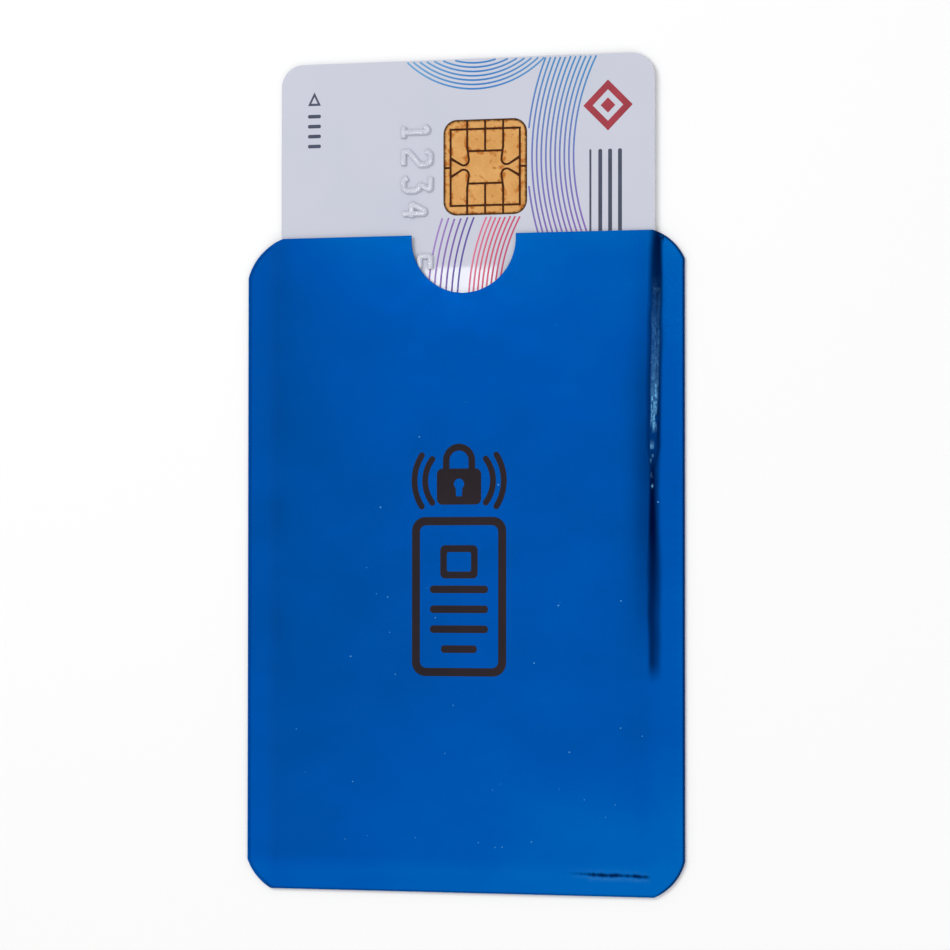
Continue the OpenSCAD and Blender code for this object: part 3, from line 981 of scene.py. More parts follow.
@dataclass
class SleevePanel:
    """The front panel: film, foil and liner over the card, sealed down on three sides.

    The frame gives its outline's size, its seals and the thickness of its sheets. Widths and runs are as
    in the construction, and the drape is how far the sheets settle between the number and the card's edge.
    """

    punch_r: float = 7.5
    # Reach of each corner across and along the sleeve
    mouth_left: Pair = (5.5, 5.4)
    mouth_right: Pair = (4.2, 3.9)
    bottom_left: Pair = (3.5, 4.0)
    bottom_right: Pair = (4.3, 4.9)
    corner_points: int = 14
    notch_r: float = 7.55
    notch_depth: float = 8.1
    notch_x: float = 0.45
    notch_points: int = 48
    edge_step: float = 0.6
    # Widths over which the panel climbs from its seals, the last one at the right past the card's end
    left_run: float = 2.9
    right_run: float = 0.9
    bottom_run: float = 2.2
    relaxed_run: float = 1.3
    # Distances from the card's end over which the right climb widens, and how far that moves its foot in
    relax_y: Pair = (1.6, -1.2)
    relaxed_foot: float = 0.9
    # Softness of the climb: where left meets right, where the bottom joins them, at its crest, at its foot
    climb_soft: Floats = (0.3, 0.5, 0.3, 0.2)
    # How far the panel lifts off each seal before the seal's edge
    left_lift: float = 0.6
    right_lift: float = 0.05
    bottom_lift: float = 0.9
    drape_right: float = 0.28
    drape_left: float = 0.26
    drape_power: float = 1.7
    crown_drop: float = 0.02
    swell: float = 0.012
    # Height of the inner face that still clears the card, and where the panel comes down to it past the card
    least_z: float = 1.2
    empty_y: Pair = (-34.5, -41.0)
    # The number's strip, where the panel rides on the raised digits
    strip: Pair = (-9.4, -3.5)
    # Where the middle of the steep fold beside the card runs, across, by the place along
    fold_x: Profile = (
        (-16.0, -5.0, 9.0, 15.0, 22.0, 30.0, 36.0, 41.0, 45.5),
        (27.45, 27.42, 27.38, 27.42, 27.52, 27.66, 27.76, 27.82, 27.90),
    )
    # Height of the crinkles on it, and where they lie: a low end, a high end and a softness of each span
    crinkle: float = 0.035
    crinkle_x: Triple = (27.1, 28.2, 0.35)
    strong_y: Triple = (16.0, 38.0, 2.5)
    weak_y: Triple = (9.5, 12.0, 1.0)
    # Middle and depth of the bottom seal's pucker, where each end starts and is full, and its swollen span
    pucker_y: float = -42.5
    pucker_depth: float = 0.03
    pucker_left: Pair = (14.2, 19.2)
    pucker_right: Pair = (27.1, 25.9)
    pucker_swell: Triple = (18.5, 26.0, 2.2)
    # Rows of points along the film's rim, how far in its other points start, and how far they are shaken
    insets: Floats = (0.15, 0.26, 0.4, 0.55)
    inner: float = 0.6
    jitter: float = 0.01
    sharp_degrees: float = 60.0

    def __post_init__(self) -> None:
        """Read the sizes that the frame holds."""
        film, foil, liner, seam, core = (
            node_box(node)
            for node in ("back_film", "back_foil", "back_liner", "left_seam", "card_front_core")
        )
        self.half_w, self.half_l = film[1].xy
        self.film_t, self.foil_t, self.liner_t = (high.z - low.z for low, high in (film, foil, liner))
        self.wall_t = self.film_t + self.foil_t + self.liner_t
        self.left_foot, self.margin_z = seam[1].x, seam[1].z
        self.right_foot = node_box("right_seam")[0].x
        self.bottom_foot = node_box("bottom_seam")[1].y
        self.pocket_z = node_box("front_film")[1].z - self.wall_t
        self.card_right, self.card_end = core[1].x, core[0].y

    def corner(self, sx: int, sy: int, reach: Pair) -> Points:
        """Punch a corner of the outline.

        Args:
            sx: Side across, -1 or 1.
            sy: Side along, -1 or 1.
            reach: Where the punch leaves the edges, across and along.

        Returns:
            Points from the edge along the sleeve to the edge across it.
        """
        chord = math.hypot(*reach)
        depth = math.sqrt(self.punch_r ** 2 - chord * chord / 4)
        cx, cy = reach[0] / 2 + depth * reach[1] / chord, reach[1] / 2 + depth * reach[0] / chord
        start, end = math.atan2(reach[1] - cy, -cx), math.atan2(-cy, reach[0] - cx)
        angles = np.linspace(start, end, self.corner_points)
        x = cx + self.punch_r * np.cos(angles)
        y = cy + self.punch_r * np.sin(angles)
        return np.column_stack((sx * (self.half_w - x), sy * (self.half_l - y)))

    def outline(self) -> Points:
        """Draw the front panel with the thumb notch in its mouth.

        Returns:
            Its outline, counter-clockwise.
        """
        notch_y = self.half_l - self.notch_depth + self.notch_r
        notch = arc((self.notch_x, notch_y), self.notch_r, 0, -180, self.notch_points)
        left, right = ([[self.notch_x + side * self.notch_r, self.half_l]] for side in (-1, 1))
        ring = np.vstack((
            self.corner(-1, -1, self.bottom_left), self.corner(1, -1, self.bottom_right)[::-1],
            self.corner(1, 1, self.mouth_right), right, notch, left,
            self.corner(-1, 1, self.mouth_left)[::-1],
        ))
        return refined(ring, self.edge_step)

    def ramps(self, x: Points, y: Points, lift: float) -> Points:
        """Work out how far the panel has climbed from its seals.

        Args:
            x: Places across.
            y: Places along.
            lift: Distance of the face from the inner face.

        Returns:
            Shares from 0 on the seals to 1 over the pocket.
        """
        relaxed = fade(y, *(self.card_end + distance for distance in self.relax_y))
        right_run = self.right_run + (self.relaxed_run - self.right_run) * relaxed
        rise = self.pocket_z - self.margin_z
        # A face further out turns each bend further out as well
        out_left, out_right, out_bottom = (
            lift * math.tan(math.atan2(rise, run) / 2)
            for run in (self.left_run, self.right_run, self.bottom_run)
        )
        moved = (self.relaxed_run - self.right_run) * self.relaxed_foot * relaxed
        foot = self.right_foot + self.right_lift + moved
        left = (x - self.left_foot + self.left_lift + out_left) / self.left_run
        right = (foot + out_right - x) / right_run
        bottom = (y - self.bottom_foot + self.bottom_lift + out_bottom) / self.bottom_run
        sides, corners, crest, start = self.climb_soft
        share = soft_min(soft_min(left, right, sides), bottom, corners)
        share = soft_min(share, np.ones_like(share), crest)
        return soft_max(share, np.zeros_like(share), start)

    def height(self, x: Points, y: Points, lift: float) -> Points:
        """Work out a face of the panel, without its crinkles.

        Args:
            x: Places across.
            y: Places along.
            lift: Distance of the face from the inner face.

        Returns:
            Heights over the floor.
        """
        # On the right the drape goes on a little past the card's edge
        to_right = np.clip((x - self.strip[1]) / (self.card_right - self.strip[1]), 0, 1.1)
        to_left = np.clip((self.strip[0] - x) / (self.strip[0] - self.left_foot), 0, 1)
        power = self.drape_power
        drape = self.drape_right * to_right ** power + self.drape_left * to_left ** power
        swell = self.swell * ValueNoise((13.0, 17.0), 3, (200.0, 200.0))(x, y) * np.maximum(to_right, to_left)
        sunk = (self.pocket_z - self.crown_drop - drape - self.least_z) * fade(y, *self.empty_y)
        top = self.pocket_z - self.crown_drop - drape + swell - sunk
        return self.margin_z + lift + (top - self.margin_z) * self.ramps(x, y, lift)

    def fold_line(self, y: Points) -> Points:
        """Middle of the fold beside the card, which leans in from the mouth and wanders a little."""
        wander = ValueNoise((1.0, 3.1), 15, (0.0, 100.0))(y * 0, y)
        return 0.05 * wander + np.interp(y, *self.fold_x)

    def crinkles(self, x: Points, y: Points) -> Points:
        """Work out the fine crinkles in the film along the right fold.

        Args:
            x: Places across.
            y: Places along.

        Returns:
            Their heights.
        """
        fine = ValueNoise((0.2, 0.7), 11)(x, y)
        coarse = ValueNoise((0.5, 1.6), 12)(x, y)
        force = 0.15 + 0.85 * between(y, *self.strong_y) + 0.3 * between(y, *self.weak_y)
        fold = self.crinkle * between(x, *self.crinkle_x) * force * (0.6 * fine + 0.4 * coarse)
        return fold * fade(y, self.card_end - 2.0, self.card_end + 3.0)

    def pucker(self, x: Points, y: Points) -> Points:
        """Work out the thin beaded pucker in the bottom seal.

        Args:
            x: Places across.
            y: Places along.

        Returns:
            Shares of its depth.
        """
        # It waves, wanders and runs down to the right
        path = self.pucker_y + 0.05 * np.sin((x - 15.0) * 0.9)
        path += 0.04 * ValueNoise((0.5, 1.0), 21, (30.0, 0.0))(x, y * 0)
        path -= 0.02 * (x - 18.0)
        swell = between(x, *self.pucker_swell)
        bead = ValueNoise((0.3, 1.0), 22, (30.0, 0.0))(x, y * 0)
        width = 0.08 + 0.17 * swell + 0.07 * bead
        along = fade(x, *self.pucker_left) * fade(x, *self.pucker_right) * (0.9 + 0.3 * bead)
        return np.clip(along, 0, 1) * np.exp(-((y - path) / width) ** 2)

    def film_top(self, x: Points, y: Points) -> Points:
        """Heights of the film's outer face, crinkles and pucker included."""
        return self.height(x, y, self.wall_t) + self.crinkles(x, y) - self.pucker_depth * self.pucker(x, y)

    def shape_points(self) -> tuple[Points, Points]:
        """Place points closely where the panel bends, and widely elsewhere.

        Returns:
            Points that shape the film's outer face, and those that shape every other face.
        """
        x, y = self.half_w, self.half_l
        coarse = np.vstack([lattice(*spans) for spans in (
            ((-x, -y), (x, y), (1.3, 1.3)), ((-29.6, -y), (-25.2, y), (0.32, 1.1)),
            ((26.2, -y), (29.9, y), (0.2, 0.9)), ((-x, -43.6), (x, -40.6), (0.9, 0.22)),
        )])
        fold = lattice((26.3, self.card_end - 3.0), (28.75, y), (0.1, 0.2))
        seal = lattice((12.4, -43.1), (28.4, -41.9), (0.2, 0.055))
        return np.vstack((coarse, fold, seal)), coarse

    def build(self) -> None:
        """Make the film, the foil and the liner of the front panel."""
        outline = self.outline()
        fine, coarse = self.shape_points()
        shaken = fine + np.random.default_rng(5).uniform(-self.jitter, self.jitter, fine.shape)
        foil_z, film_z = self.liner_t, self.liner_t + self.foil_t
        for sheet, inner, outer, finish, slot in (
            (Sheet.LINER, 0.0, foil_z, Finishes.LINER, "liner_paper"),
            (Sheet.FOIL, foil_z, film_z, Finishes.FOIL, "shield_foil"),
            (Sheet.FILM, film_z, self.wall_t, Finishes.FILM, "blue_film"),
        ):
            plate = Plate(
                [outline], lambda x, y, lift=outer: self.height(x, y, lift),
                lambda x, y, lift=inner: self.height(x, y, lift), coarse, coarse, clearance=0.1,
            )
            if sheet is Sheet.FILM:
                plate = replace(
                    plate, top=self.film_top, top_points=shaken, insets=self.insets, clearance=self.inner,
                )
            name = f"front_panel_{sheet.value}"
            piece = new_piece(name, *plate.shell(), finish, self.sharp_degrees)
            if sheet is Sheet.FILM:
                PaintedFilmLight(self).mark(piece, outline)
            tie(piece, Body.SLEEVE, (f"front_{sheet.value}",), "front panel")

    def dress(self) -> None:
        """Give the back panel's sheets and the seals their finishes."""
        dress({
            "back_film": Finishes.FILM, "back_foil": Finishes.FOIL, "back_liner": Finishes.LINER,
            "left_seam": Finishes.SEAL, "right_seam": Finishes.SEAL, "bottom_seam": Finishes.SEAL,
        })


@dataclass(frozen=True)
class PaintedGlint:
    """A painted glint on the fold.

    Args:
        highlight: How strong the painted highlight is there.
        along: Its span along the sleeve: a low end, a high end and a softness.
        across: The same, from the middle of the fold.
        streaks: Streak where it starts and where it is full, if streaks break it up.
    """

    bare: float
    along: Triple
    across: Triple
    streaks: Pair | None = None


@dataclass
class PaintedFilmLight:
    """Painted reflection, painted shade and painted highlights on the film, for the finish to turn into
    colour.

    A pair is where something starts and where it is full. A span is a low end, a high end and a softness.

    Args:
        panel: The panel that the film covers.
        reflection_across: How much lighter the painted reflection makes the film than its mean, by the place
            across.
        reflection_low: The same towards the bottom, by the place along.
        reflection_high: The same towards the mouth.
        mouth_x: Pair across that makes the same fuller towards the right.
        corner_x: Pair across of the painted light corner at the bottom right.
        corner_y: Its pair along.
        corner_gain: How much lighter it is.
        glare: Middle of a darker patch in the painted reflection near the mouth.
        glare_reach: Its reach across and along.
        glare_gain: How much lighter it makes the film.
        shade_y: Places along for the rows of the fold's painted shade.
        shade: Where it starts and is full from the left, where it is full and ends at the right, how dark
            its middle is, and how dark the film is before it.
        flank: How dark the flanks are where the middle carries the painted sheen.
        flank_y: Span along of that.
        crest: Span across of the fold's middle.
        near_x: Pair across of the painted shade before the fold.
        near_crest: Pair from the fold's middle where that ends.
        shade_end: Pair from the card's end where the shade ends.
        sheen: How strong the painted sheen in the fold's middle is, by the place along.
        sheen_y: Span along of that.
        painted_glints: Its painted highlights: long glints, a faint sheen near the mouth, sparks, and a lone
            spark.
        cuts: Pairs of the painted shade along the rim: across at the right and the left, along at the bottom.
        rim: Pair from the outline for the right and the bottom.
        left_rim: Span from the outline for the left.
        pale_rim: Span of the painted highlight line within the rim.
        lip_highlights: How strong the painted highlight along each lip of the pucker is, and how far it lies
            from its middle.
    """

    panel: SleevePanel
    # Painted reflection: lighter and darker patches over the film, a light corner, and a darker patch near
    # the mouth
    reflection_across: Profile = (
        (-31.6, -28.8, -27.2, -24.0, -19.0, -6.0, 10.0, 21.0, 26.0, 28.4, 31.6),
        (-0.12, -0.13, -0.30, -0.22, -0.13, 0.0, 0.03, 0.02, -0.08, 0.10, 0.10),
    )
    reflection_low: Profile = ((-45.5, -42.6, -40.6, -33.0, -25.0, -15.0), (0.34, 0.42, 0.14, 0.15, 0.05, 0.0))
    reflection_high: Profile = ((18.0, 30.0, 37.0, 41.0, 45.5), (-0.06, 0.05, 0.19, 0.24, 0.48))
    mouth_x: Pair = (-31.0, -14.0)
    corner_x: Pair = (-5.0, 24.0)
    corner_y: Pair = (-26.0, -38.0)
    corner_gain: float = 0.32
    glare: Pair = (-1.0, 34.0)
    glare_reach: Pair = (11.0, 12.0)
    glare_gain: float = -0.12
    # Painted shade along the right fold, for the dim side of the room that the film mirrors there
    shade_y: Floats = (-13.0, -6.5, 0.0, 5.0, 9.0, 12.7, 16.0, 24.0, 32.0, 39.0, 45.0)
    shade: tuple[Floats, ...] = (
        (-1.00, -1.25, -1.60, -1.00, -1.00, -1.00, -1.65, -1.80, -1.70, -1.50, -1.35),
        (-0.20, -0.40, -0.05, -0.30, -0.15, -0.20, -0.45, -0.50, -0.50, -0.25, 0.00),
        (-0.05, -0.05, 0.15, 0.20, 0.10, 0.10, 0.75, 0.60, 0.50, 0.55, 0.35),
        (1.25, 1.30, 1.40, 1.00, 1.05, 1.00, 1.10, 1.05, 1.20, 1.00, 0.95),
        (0.78, 0.83, 0.93, 1.00, 1.00, 0.93, 0.62, 0.58, 0.62, 0.90, 0.96),
        (0.02, 0.26, 0.36, 0.48, 0.48, 0.55, 0.48, 0.34, 0.20, 0.12, 0.08),
    )
    flank: float = 0.76
    flank_y: Triple = (15.0, 38.0, 3.0)
    crest: Triple = (-0.35, 0.4, 0.18)
    near_x: Pair = (23.2, 26.9)
    near_crest: Pair = (0.5, 0.2)
    shade_end: Pair = (-1.1, 2.4)
    # Painted sheen and painted glints along the fold's middle
    sheen: Profile = ((23.0, 27.0, 31.5, 36.0, 39.5), (0.34, 0.27, 0.13, 0.07, 0.0))
    sheen_y: Triple = (23.0, 40.0, 1.0)
    painted_glints: tuple[PaintedGlint, ...] = (
        PaintedGlint(0.85, (18.8, 24.2, 1.2), (-0.22, 0.28, 0.2), (-0.6, 0.7)),
        PaintedGlint(0.1, (37.2, 37.5, 0.2), (-0.3, 0.45, 0.15)),
        PaintedGlint(0.45, (12.5, 16.0, 1.0), (-0.3, 0.1, 0.1), (0.3, 0.6)),
        PaintedGlint(0.8, (10.45, 10.6, 0.2), (-0.1, 0.05, 0.1)),
    )
    # Painted shade along the rim, and a painted highlight line within it
    cuts: tuple[Pair, Pair, Pair] = ((27.5, 28.5), (-27.5, -28.5), (-44.6, -45.2))
    rim: Pair = (0.32, 0.16)
    left_rim: Triple = (0.15, 0.4, 0.1)
    pale_rim: Triple = (0.5, 0.6, 0.12)
    # Painted highlights along each lip of the pucker
    lip_highlights: tuple[Pair, Pair] = ((0.05, 0.42), (0.13, -0.45))

    def painted_reflection(self, x: Points, y: Points) -> Points:
        """Work out the painted reflection: how much lighter the film is than its mean.

        Args:
            x: Places across.
            y: Places along.

        Returns:
            Shares to add to the mean.
        """
        across = np.interp(x, *self.reflection_across)
        low, high = (np.interp(y, *profile) for profile in (self.reflection_low, self.reflection_high))
        corner = self.corner_gain * fade(x, *self.corner_x) * fade(y, *self.corner_y)
        (glare_x, glare_y), (wide, long) = self.glare, self.glare_reach
        cloud = self.glare_gain * np.exp(-((x - glare_x) / wide) ** 2 - ((y - glare_y) / long) ** 2)
        return across + low + high * (0.2 + 0.8 * fade(x, *self.mouth_x)) + corner + cloud

    def fold_shade(self, x: Points, y: Points, off: Points) -> Points:
        """Work out the painted shade along the right fold, which stands for the dim side of the room that it
        mirrors.

        Args:
            x: Places across.
            y: Places along.
            off: Distances from the middle of the fold.

        Returns:
            Shares from 0 to 1.
        """
        left, left_full, right_full, right, core, near = (
            np.interp(y, self.shade_y, values) for values in self.shade
        )
        band = fade(off, left, left_full) * fade(off, right, right_full)
        flank = np.maximum(core, self.flank * between(y, *self.flank_y))
        shade = band * (flank + (core - flank) * between(off, *self.crest))
        approach = near * fade(x, *self.near_x) * fade(off, *self.near_crest)
        return np.maximum(shade, approach) * fade(y, *(self.panel.card_end + d for d in self.shade_end))

    def fold_highlights(self, y: Points, off: Points, streak: Points) -> Points:
        """Work out the painted highlights along the fold: a grey painted sheen, and painted glints over it.

        Args:
            y: Places along.
            off: Distances from the middle of the fold.
            streak: Fine lengthwise streaks from -1 to 1.

        Returns:
            Shares from 0 to 1.
        """
        sheen = np.interp(y, *self.sheen) * between(y, *self.sheen_y)
        # Painted sheen in the fold's middle, then each painted glint
        highlight_share = [sheen * (between(off, *self.crest) * (0.8 + 0.5 * streak))]
        for painted_glint in self.painted_glints:
            place = painted_glint.bare * between(y, *painted_glint.along) * between(off, *painted_glint.across)
            highlight_share.append(place * fade(streak, *painted_glint.streaks) if painted_glint.streaks else place)
        return np.max(highlight_share, axis=0)

    def mark(self, piece: Piece, outline: Points) -> None:
        """Store the film's painted reflection, its painted shade in the fold, the pucker and the rim, and its
        painted highlights.

        Args:
            piece: The film.
            outline: Its outline.
        """
        panel = self.panel
        flat = np.empty(len(piece.data.vertices) * 3)
        piece.data.vertices.foreach_get("co", flat)
        x, y, _ = (flat.reshape(-1, 3) / MM).T
        rim = edge_distance(np.column_stack((x, y)), [outline])
        # Painted shade along the right and bottom rim, fainter along the left
        right_cut, left_cut, bottom_cut = (fade(place, *cut) for place, cut in zip((x, x, y), self.cuts))
        cut = np.maximum(right_cut, 0.55 * bottom_cut)
        rim_dark = 0.8 * fade(rim, *self.rim) * cut + 0.3 * left_cut * between(rim, *self.left_rim)
        off = x - panel.fold_line(y)
        # The pucker also gets a painted shadow down its middle
        pucker = panel.pucker(x, y)
        # Painted shade: the fold's dark reflection, the pucker's painted shadow and the dark rim
        fold = np.maximum(self.fold_shade(x, y, off), np.maximum(0.97 * pucker, rim_dark))
        streak = ValueNoise((0.14, 0.6), 33)(x, y)
        # Painted highlights along each lip of the pucker, kept off its painted shadow
        upper, lower = (bare * panel.pucker(x, y - distance) for bare, distance in self.lip_highlights)
        lip_highlights = (upper + lower) * (1 - np.clip(1.3 * pucker, 0, 1)) ** 2
        # Painted reflection, with a painted highlight line within the rim
        store(piece, "painted_reflection", self.painted_reflection(x, y) + 0.12 * between(rim, *self.pale_rim) * cut)
        store(piece, "fold", np.clip(fold, 0, 1))
        # Painted highlights: the fold's painted sheen and glints, and those along each lip of the pucker
        store(piece, "highlight_share", np.clip(self.fold_highlights(y, off, streak) + lip_highlights, 0, 1))


@dataclass
class FlatPrint:
    """Ink shapes that lie on a surface.

    Args:
        surface: Heights of what carries the ink.
        thickness: Thickness of the ink.
        step: Distance between the points that follow the surface.
        sunk: Depth of the ink's underside in the surface.
        clear: How far those points stay from the shape's outlines, as a share of the step.
    """

    surface: Heights
    thickness: float = 0.012
    step: float = 0.8
    sunk: float = 0.002
    clear: float = 0.3

    def shape(self, *rings: Points) -> Shell:
        """Print one shape.

        Args:
            rings: Its outline, then its openings, all counter-clockwise.

        Returns:
            Its closed body.
        """
        outer = refined(rings[0], self.step)
        holes = [refined(ring[::-1], self.step) for ring in rings[1:]]
        points = lattice(tuple(outer.min(0)), tuple(outer.max(0)), (self.step, self.step))
        return Plate(
            [outer, *holes],
            lambda x, y: self.surface(x, y) + self.thickness - self.sunk,
            lambda x, y: self.surface(x, y) - self.sunk,
            points, points, clearance=self.step * self.clear,
        ).shell()


@dataclass
class SleevePrint:
    """Plain pictogram on the front: a padlock between arcs, over an outline of a card.

    Args:
        panel: The panel that carries it.
        centre_x: Its middle line.
        lock_y: Middle of the padlock's body.
        lock: Its width, height and corner radius.
        keyhole: Radius of the keyhole, and how far its middle lies over the body's.
        slot: Half the width of its slot, and how far that goes below the body's middle.
        shackle: Radius of the shackle's middle line, its width and the length of its straight ends.
        arc_radii: Radii of the arcs.
        arc_w: Their width.
        arc_up: How far their centre lies over the body's middle.
        arc_spread: Half the angle of an inner arc, and how much less it is per millimetre further out.
        card_y: Middle of the card's outline.
        card_w: Its width.
        card_h: Its height.
        card_corners: Outer and inner radius of its corners.
        line: Width of its line.
        plate_down: How far the contact plate's middle lies below the card's top.
        plate: Width, height and corner radius of the plate's outer and inner edge.
        bars: Widths of the bars in the card.
        bar: Their height and corner radius.
        bar_rows: How far the first lies over the card's middle, and the distance between them.
        arc_points: Points along a long arc.
        tip_points: Points round a bent bar's end.
        keyhole_points: Points round the keyhole.
    """

    panel: SleevePanel
    centre_x: float = -0.15
    lock_y: float = 10.6
    lock: Triple = (6.4, 5.0, 0.8)
    keyhole: Pair = (0.75, 0.35)
    slot: Pair = (0.42, 1.35)
    shackle: Triple = (1.85, 0.95, 1.1)
    arc_radii: Pair = (4.9, 6.45)
    arc_w: float = 0.85
    arc_up: float = 0.8
    arc_spread: Pair = (38.0, 3.0)
    card_y: float = -4.6
    card_w: float = 13.6
    card_h: float = 22.0
    card_corners: Pair = (1.9, 0.9)
    line: float = 1.15
    plate_down: float = 6.2
    plate: tuple[Triple, Triple] = ((5.4, 4.6, 0.7), (3.5, 2.7, 0.3))
    bars: Floats = (8.4, 8.4, 8.4, 5.2)
    bar: Pair = (1.05, 0.5)
    bar_rows: Pair = (1.0, 2.75)
    arc_points: int = 20
    tip_points: int = 8
    keyhole_points: int = 14

    def bent_bar(self, centre: Pair, radius: float, start: float, end: float, width: float) -> Points:
        """Draw a bar bent round a centre, with round ends.

        Args:
            centre: The centre.
            radius: Radius of its middle line.
            start: Angle of its first end, in degrees.
            end: Angle of its last end, in degrees.
            width: Its width.

        Returns:
            Its outline.
        """
        first, last = arc(centre, radius, start, end, 2)
        half = width / 2
        return np.vstack((
            arc(centre, radius + half, start, end, self.arc_points),
            arc(last, half, end, end + 180, self.tip_points)[1:-1],
            arc(centre, radius - half, end, start, self.arc_points),
            arc(first, half, start + 180, start + 360, self.tip_points)[1:-1],
        ))

    def padlock(self, ink: FlatPrint) -> list[Shell]:
        """Print the padlock's body with a keyhole, and its shackle.

        Args:
            ink: Ink that it is printed with.

        Returns:
            Both shapes.
        """
        x, y = self.centre_x, self.lock_y
        (hole_r, up), (side, down) = self.keyhole, self.slot
        keyhole = np.vstack((
            arc((x, y + up), hole_r, -50, 230, self.keyhole_points),
            [[x - side, y - down], [x + side, y - down]],
        ))
        body = ink.shape(round_rect((x, y), *self.lock), keyhole)
        top = y + self.lock[1] / 2
        radius, width, straight = self.shackle
        # The shackle reaches a little into the body
        foot = top - 0.01
        bend, outer, inner = (x, top + straight), radius + width / 2, radius - width / 2
        shackle = np.vstack((
            [[x + outer, foot]], arc(bend, outer, 0, 180, self.arc_points),
            [[x - outer, foot], [x - inner, foot]], arc(bend, inner, 180, 0, self.arc_points),
            [[x + inner, foot]],
        ))
        return [body, ink.shape(shackle)]

    def arcs(self, ink: FlatPrint) -> list[Shell]:
        """Print two arcs on each side of the padlock.

        Args:
            ink: Ink that they are printed with.

        Returns:
            The four shapes.
        """
        centre = (self.centre_x, self.lock_y + self.arc_up)
        made = []
        for radius in self.arc_radii:
            spread = self.arc_spread[0] - self.arc_spread[1] * (radius - self.arc_radii[0])
            for middle in (0, 180):
                bar = self.bent_bar(centre, radius, middle - spread, middle + spread, self.arc_w)
                made.append(ink.shape(bar))
        return made

    def card(self, ink: FlatPrint) -> list[Shell]:
        """Print the outline of a card, with a contact plate and bars.

        Args:
            ink: Ink that it is printed with.

        Returns:
            Its shapes.
        """
        x, y, width, height = self.centre_x, self.card_y, self.card_w, self.card_h
        outer, inner = self.card_corners
        plate_y = y + height / 2 - self.plate_down
        up, pitch = self.bar_rows
        bars = ((y + up - i * pitch, bar) for i, bar in enumerate(self.bars))
        rings = (
            (round_rect((x, y), width, height, outer),
             round_rect((x, y), width - 2 * self.line, height - 2 * self.line, inner)),
            [round_rect((x, plate_y), *edge) for edge in self.plate],
            *((round_rect((x, bar_y), bar, *self.bar),) for bar_y, bar in bars),
        )
        return [ink.shape(*ring) for ring in rings]

    def build(self) -> None:
        """Print the pictogram."""
        ink = FlatPrint(self.panel.film_top)
        shells = self.padlock(ink) + self.arcs(ink) + self.card(ink)
        piece = new_piece("sleeve_print", *joined(shells), Finishes.SCREEN_INK)
        tie(piece, Body.SLEEVE, place="plain pictogram")


@dataclass
class FilmPinholes:
    """Tiny pale spots where the lacquer has missed, mostly low on the front.

    Args:
        panel: The panel that has them.
        low: Lowest corner of their net.
        high: Its highest corner.
        net_step: Step of the net.
        spots_per_cm2: Spots in a square centimetre, where they are densest.
        thinning_m: Heights between which they thin out and grow dense, in metres.
        thinnest: Share of them that is left at the first.
        radius: Mean radius of a spot.
        sizes: Smallest and largest spot, as shares of that.
        thickness: Thickness of a spot.
        corners: Corners of a spot.
        seed: Seed of their places and sizes.
    """

    panel: SleevePanel
    low: Pair = (-25.0, -40.0)
    high: Pair = (31.0, 40.0)
    net_step: float = 1.6
    spots_per_cm2: float = 2.2
    thinning_m: Pair = (0.03, -0.035)
    thinnest: float = 0.12
    radius: float = 0.1
    sizes: Pair = (0.5, 1.3)
    thickness: float = 0.01
    corners: int = 7
    seed: int = 8

    def net(self) -> bpy.types.Mesh:
        """Spread a net that follows the film.

        Returns:
            The net.
        """
        points = lattice(self.low, self.high, (self.net_step, self.net_step))
        columns = len(np.arange(self.low[0], self.high[0], self.net_step))
        starts = [r * columns + c for r in range(len(points) // columns - 1) for c in range(columns - 1)]
        raised = np.column_stack((points, self.panel.film_top(points[:, 0], points[:, 1])))
        net = bpy.data.meshes.new("pinhole_net")
        faces = [[s, s + 1, s + columns + 1, s + columns] for s in starts]
        net.from_pydata((raised * MM).tolist(), [], faces)
        return net

    def build(self) -> None:
        """Scatter the spots over the net."""
        lines = LineTree("pinholes", {
            "Density": self.spots_per_cm2 * CM2_PER_M2, "Radius": self.radius * MM,
            "Depth": self.thickness * MM, "Seed": self.seed,
        })
        tree, given = lines.tree, lines.given
        place = add_node(tree, "GeometryNodeInputPosition")
        height = add_node(tree, "ShaderNodeSeparateXYZ", (place,)).outputs["Y"]
        low_down = add_node(tree, RANGE, (height, *self.thinning_m, self.thinnest, 1.0))
        spots = add_node(tree, "GeometryNodeDistributePointsOnFaces", {
            "Mesh": given["Geometry"], "Seed": given["Seed"],
            "Density": chain(tree, MATH, given["Density"], ("MULTIPLY", low_down)),
        }).outputs
        disc = add_node(tree, "GeometryNodeMeshCylinder", {
            "Vertices": self.corners, "Radius": given["Radius"], "Depth": given["Depth"],
        })
        sizes = {2: self.sizes[0], 3: self.sizes[1], "Seed": given["Seed"]}
        placed = add_node(tree, "GeometryNodeInstanceOnPoints", {
            "Points": spots["Points"], "Instance": disc, "Rotation": spots["Rotation"],
            "Scale": add_node(tree, "FunctionNodeRandomValue", sizes).outputs[1],
        })
        piece = lines.grow("film_pinholes", self.net(), placed, Finishes.PINHOLE)
        tie(piece, Body.SLEEVE, place="pinholes")


@dataclass(frozen=True)
class Ripple:
    """A bundle of printed arcs round one centre, in the row frame.

    Args:
        name: Name of the piece.
        centre: Centre of the arcs.
        first: Radius of the innermost.
        step: Distance between them.
        count: Number of arcs.
        start: Angle where they start, in degrees.
        end: Angle where they end, in degrees.
        ink: Their ink.
        by_arc: Whether the hue turns from arc to arc, and not along each.
        top: Where they end at the top.
    """

    name: str
    centre: Pair
    first: float
    step: float
    count: int
    start: float
    end: float
    ink: Finish
    by_arc: bool = False
    top: float = math.inf


